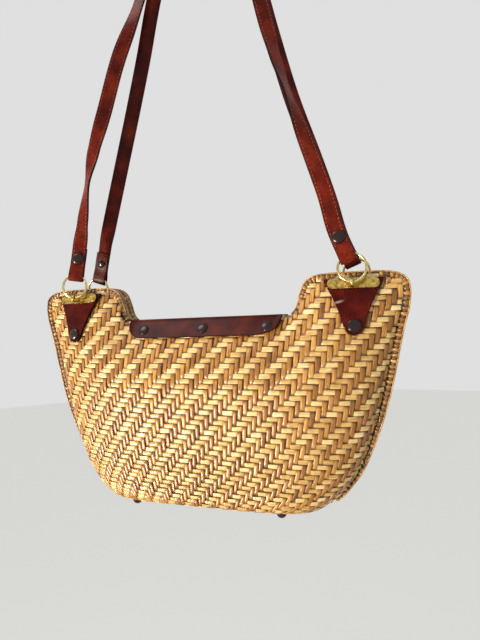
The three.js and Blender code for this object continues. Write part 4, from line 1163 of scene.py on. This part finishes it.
def branch_stations(name, front, side):
    """Path and face normals of one branch: folded tail, round the ring, and up to the hook."""
    total, frame_at = strap_branch(name, front, side)
    tail = np.array([STRAP_TAIL, 26.6, 25, 21, 17, 13, 10, 7, 5, 3], float)
    point, normal, up = frame_at(tail)
    paths, normals = [point - normal * apart(tail)], [-normal]
    point, normal, up = frame_at(np.array([0.0]))
    turn = np.linspace(0, math.pi, 13)[:, None]
    outward = -normal * np.cos(turn) - up * np.sin(turn)
    paths.append(point + outward * FOLD_RADIUS)
    normals.append(outward)
    rising = np.concatenate([[3, 5, 7, 10, 13, 17, 21, 25], np.arange(29, total - 2, 4), [total]])
    point, normal, up = frame_at(rising)
    paths.append(point + normal * apart(rising))
    normals.append(normal)
    return np.vstack(paths), np.vstack(normals)


def strap(front):
    left, right = [branch_stations(*corner) for corner in CORNERS if corner[1] == front]
    path = np.vstack([left[0], right[0][-2::-1]])
    normal = np.vstack([left[1], right[1][-2::-1]])
    return ribbon(path, normal, STRAP_SECTION, STRAP_WIDTH / 2, STRAP_LEATHER / 2)


SEWING_STEP = 3.1
SEWING_FROM_EDGE = 1.75
SEWING_STARTS, SEWING_STOPS = 12, 30
SEWN_AT, SEWN_LIFT = np.array([[-0.95, -0.6, 0, 0.6, 0.95], [-0.25, 0.06, 0.13, 0.06, -0.25]])
THREAD_HALF_WIDTH, THREAD_HALF_THICKNESS = 0.3, 0.2


def sewing(front):
    """Two rows of short stitches along each branch of a strap."""
    parts = []
    for corner in CORNERS:
        if corner[1] != front:
            continue
        total, frame_at = strap_branch(*corner)
        middles = np.arange(SEWING_STARTS, total - SEWING_STOPS, SEWING_STEP)
        for share in (-1, 1):
            for middle in middles:
                lengths = middle + SEWN_AT
                point, normal, up = frame_at(lengths)
                side_way = np.cross(normal, up)
                lift = STRAP_LEATHER / 2 + SEWN_LIFT[:, None]
                out = share * (STRAP_WIDTH / 2 - SEWING_FROM_EDGE)
                path = point + normal * (apart(lengths) + lift) + side_way * out
                parts.append(ribbon(path, normal, round_section(6), THREAD_HALF_WIDTH,
                                    THREAD_HALF_THICKNESS))
    return joined(parts)


for word, front in FACES:
    shape = strap(front)
    across = np.abs(shape[2][:, 1]) / (STRAP_WIDTH / 2)
    # The back strap's darker copy of the leather is painted shade.
    hide = strap_leather if front > 0 else painted_shade_strap_leather
    build(f"twisted_strap_{word}", shape, hide, [f"strap_{word}"],
          smoothstep(across, *STRAP_EDGE_FROM_TO))
    build(f"strap_sewing_{word}", sewing(front), waxed_thread)

for name, front, side in CORNERS:
    _, frame_at = strap_branch(name, front, side)
    point, normal, _ = frame_at(np.array([STRAP_RIVET_RISE]))
    grip = 2 * STRAP_LEATHER + 3 * CLEARANCE
    rivet(f"strap_rivet_{name}", point[0] + normal[0] * grip / 2, normal[0],
          STRAP_RIVET_HEAD, STRAP_RIVET_DOME, grip)
print("straps, sewing and rivets")

# %% [markdown]
# Four small domed feet keep the straw off the table. They are lacquered like the rivets.

# %% Feet
FOOT_X, FOOT_Y = 62, 21.5
FOOT_WIDTH, FOOT_HEIGHT, FOOT_CAP = 8, 4.5, 4.4
for name, front, side in CORNERS:
    place = (side * FOOT_X, -front * FOOT_Y, -BODY_HEIGHT - CLEARANCE)
    rivet(f"foot_{name}", place, (0, 0, -1), FOOT_WIDTH, FOOT_HEIGHT, STRAW_WALL + 2 * CLEARANCE, FOOT_CAP)
print("feet:", len(CORNERS))
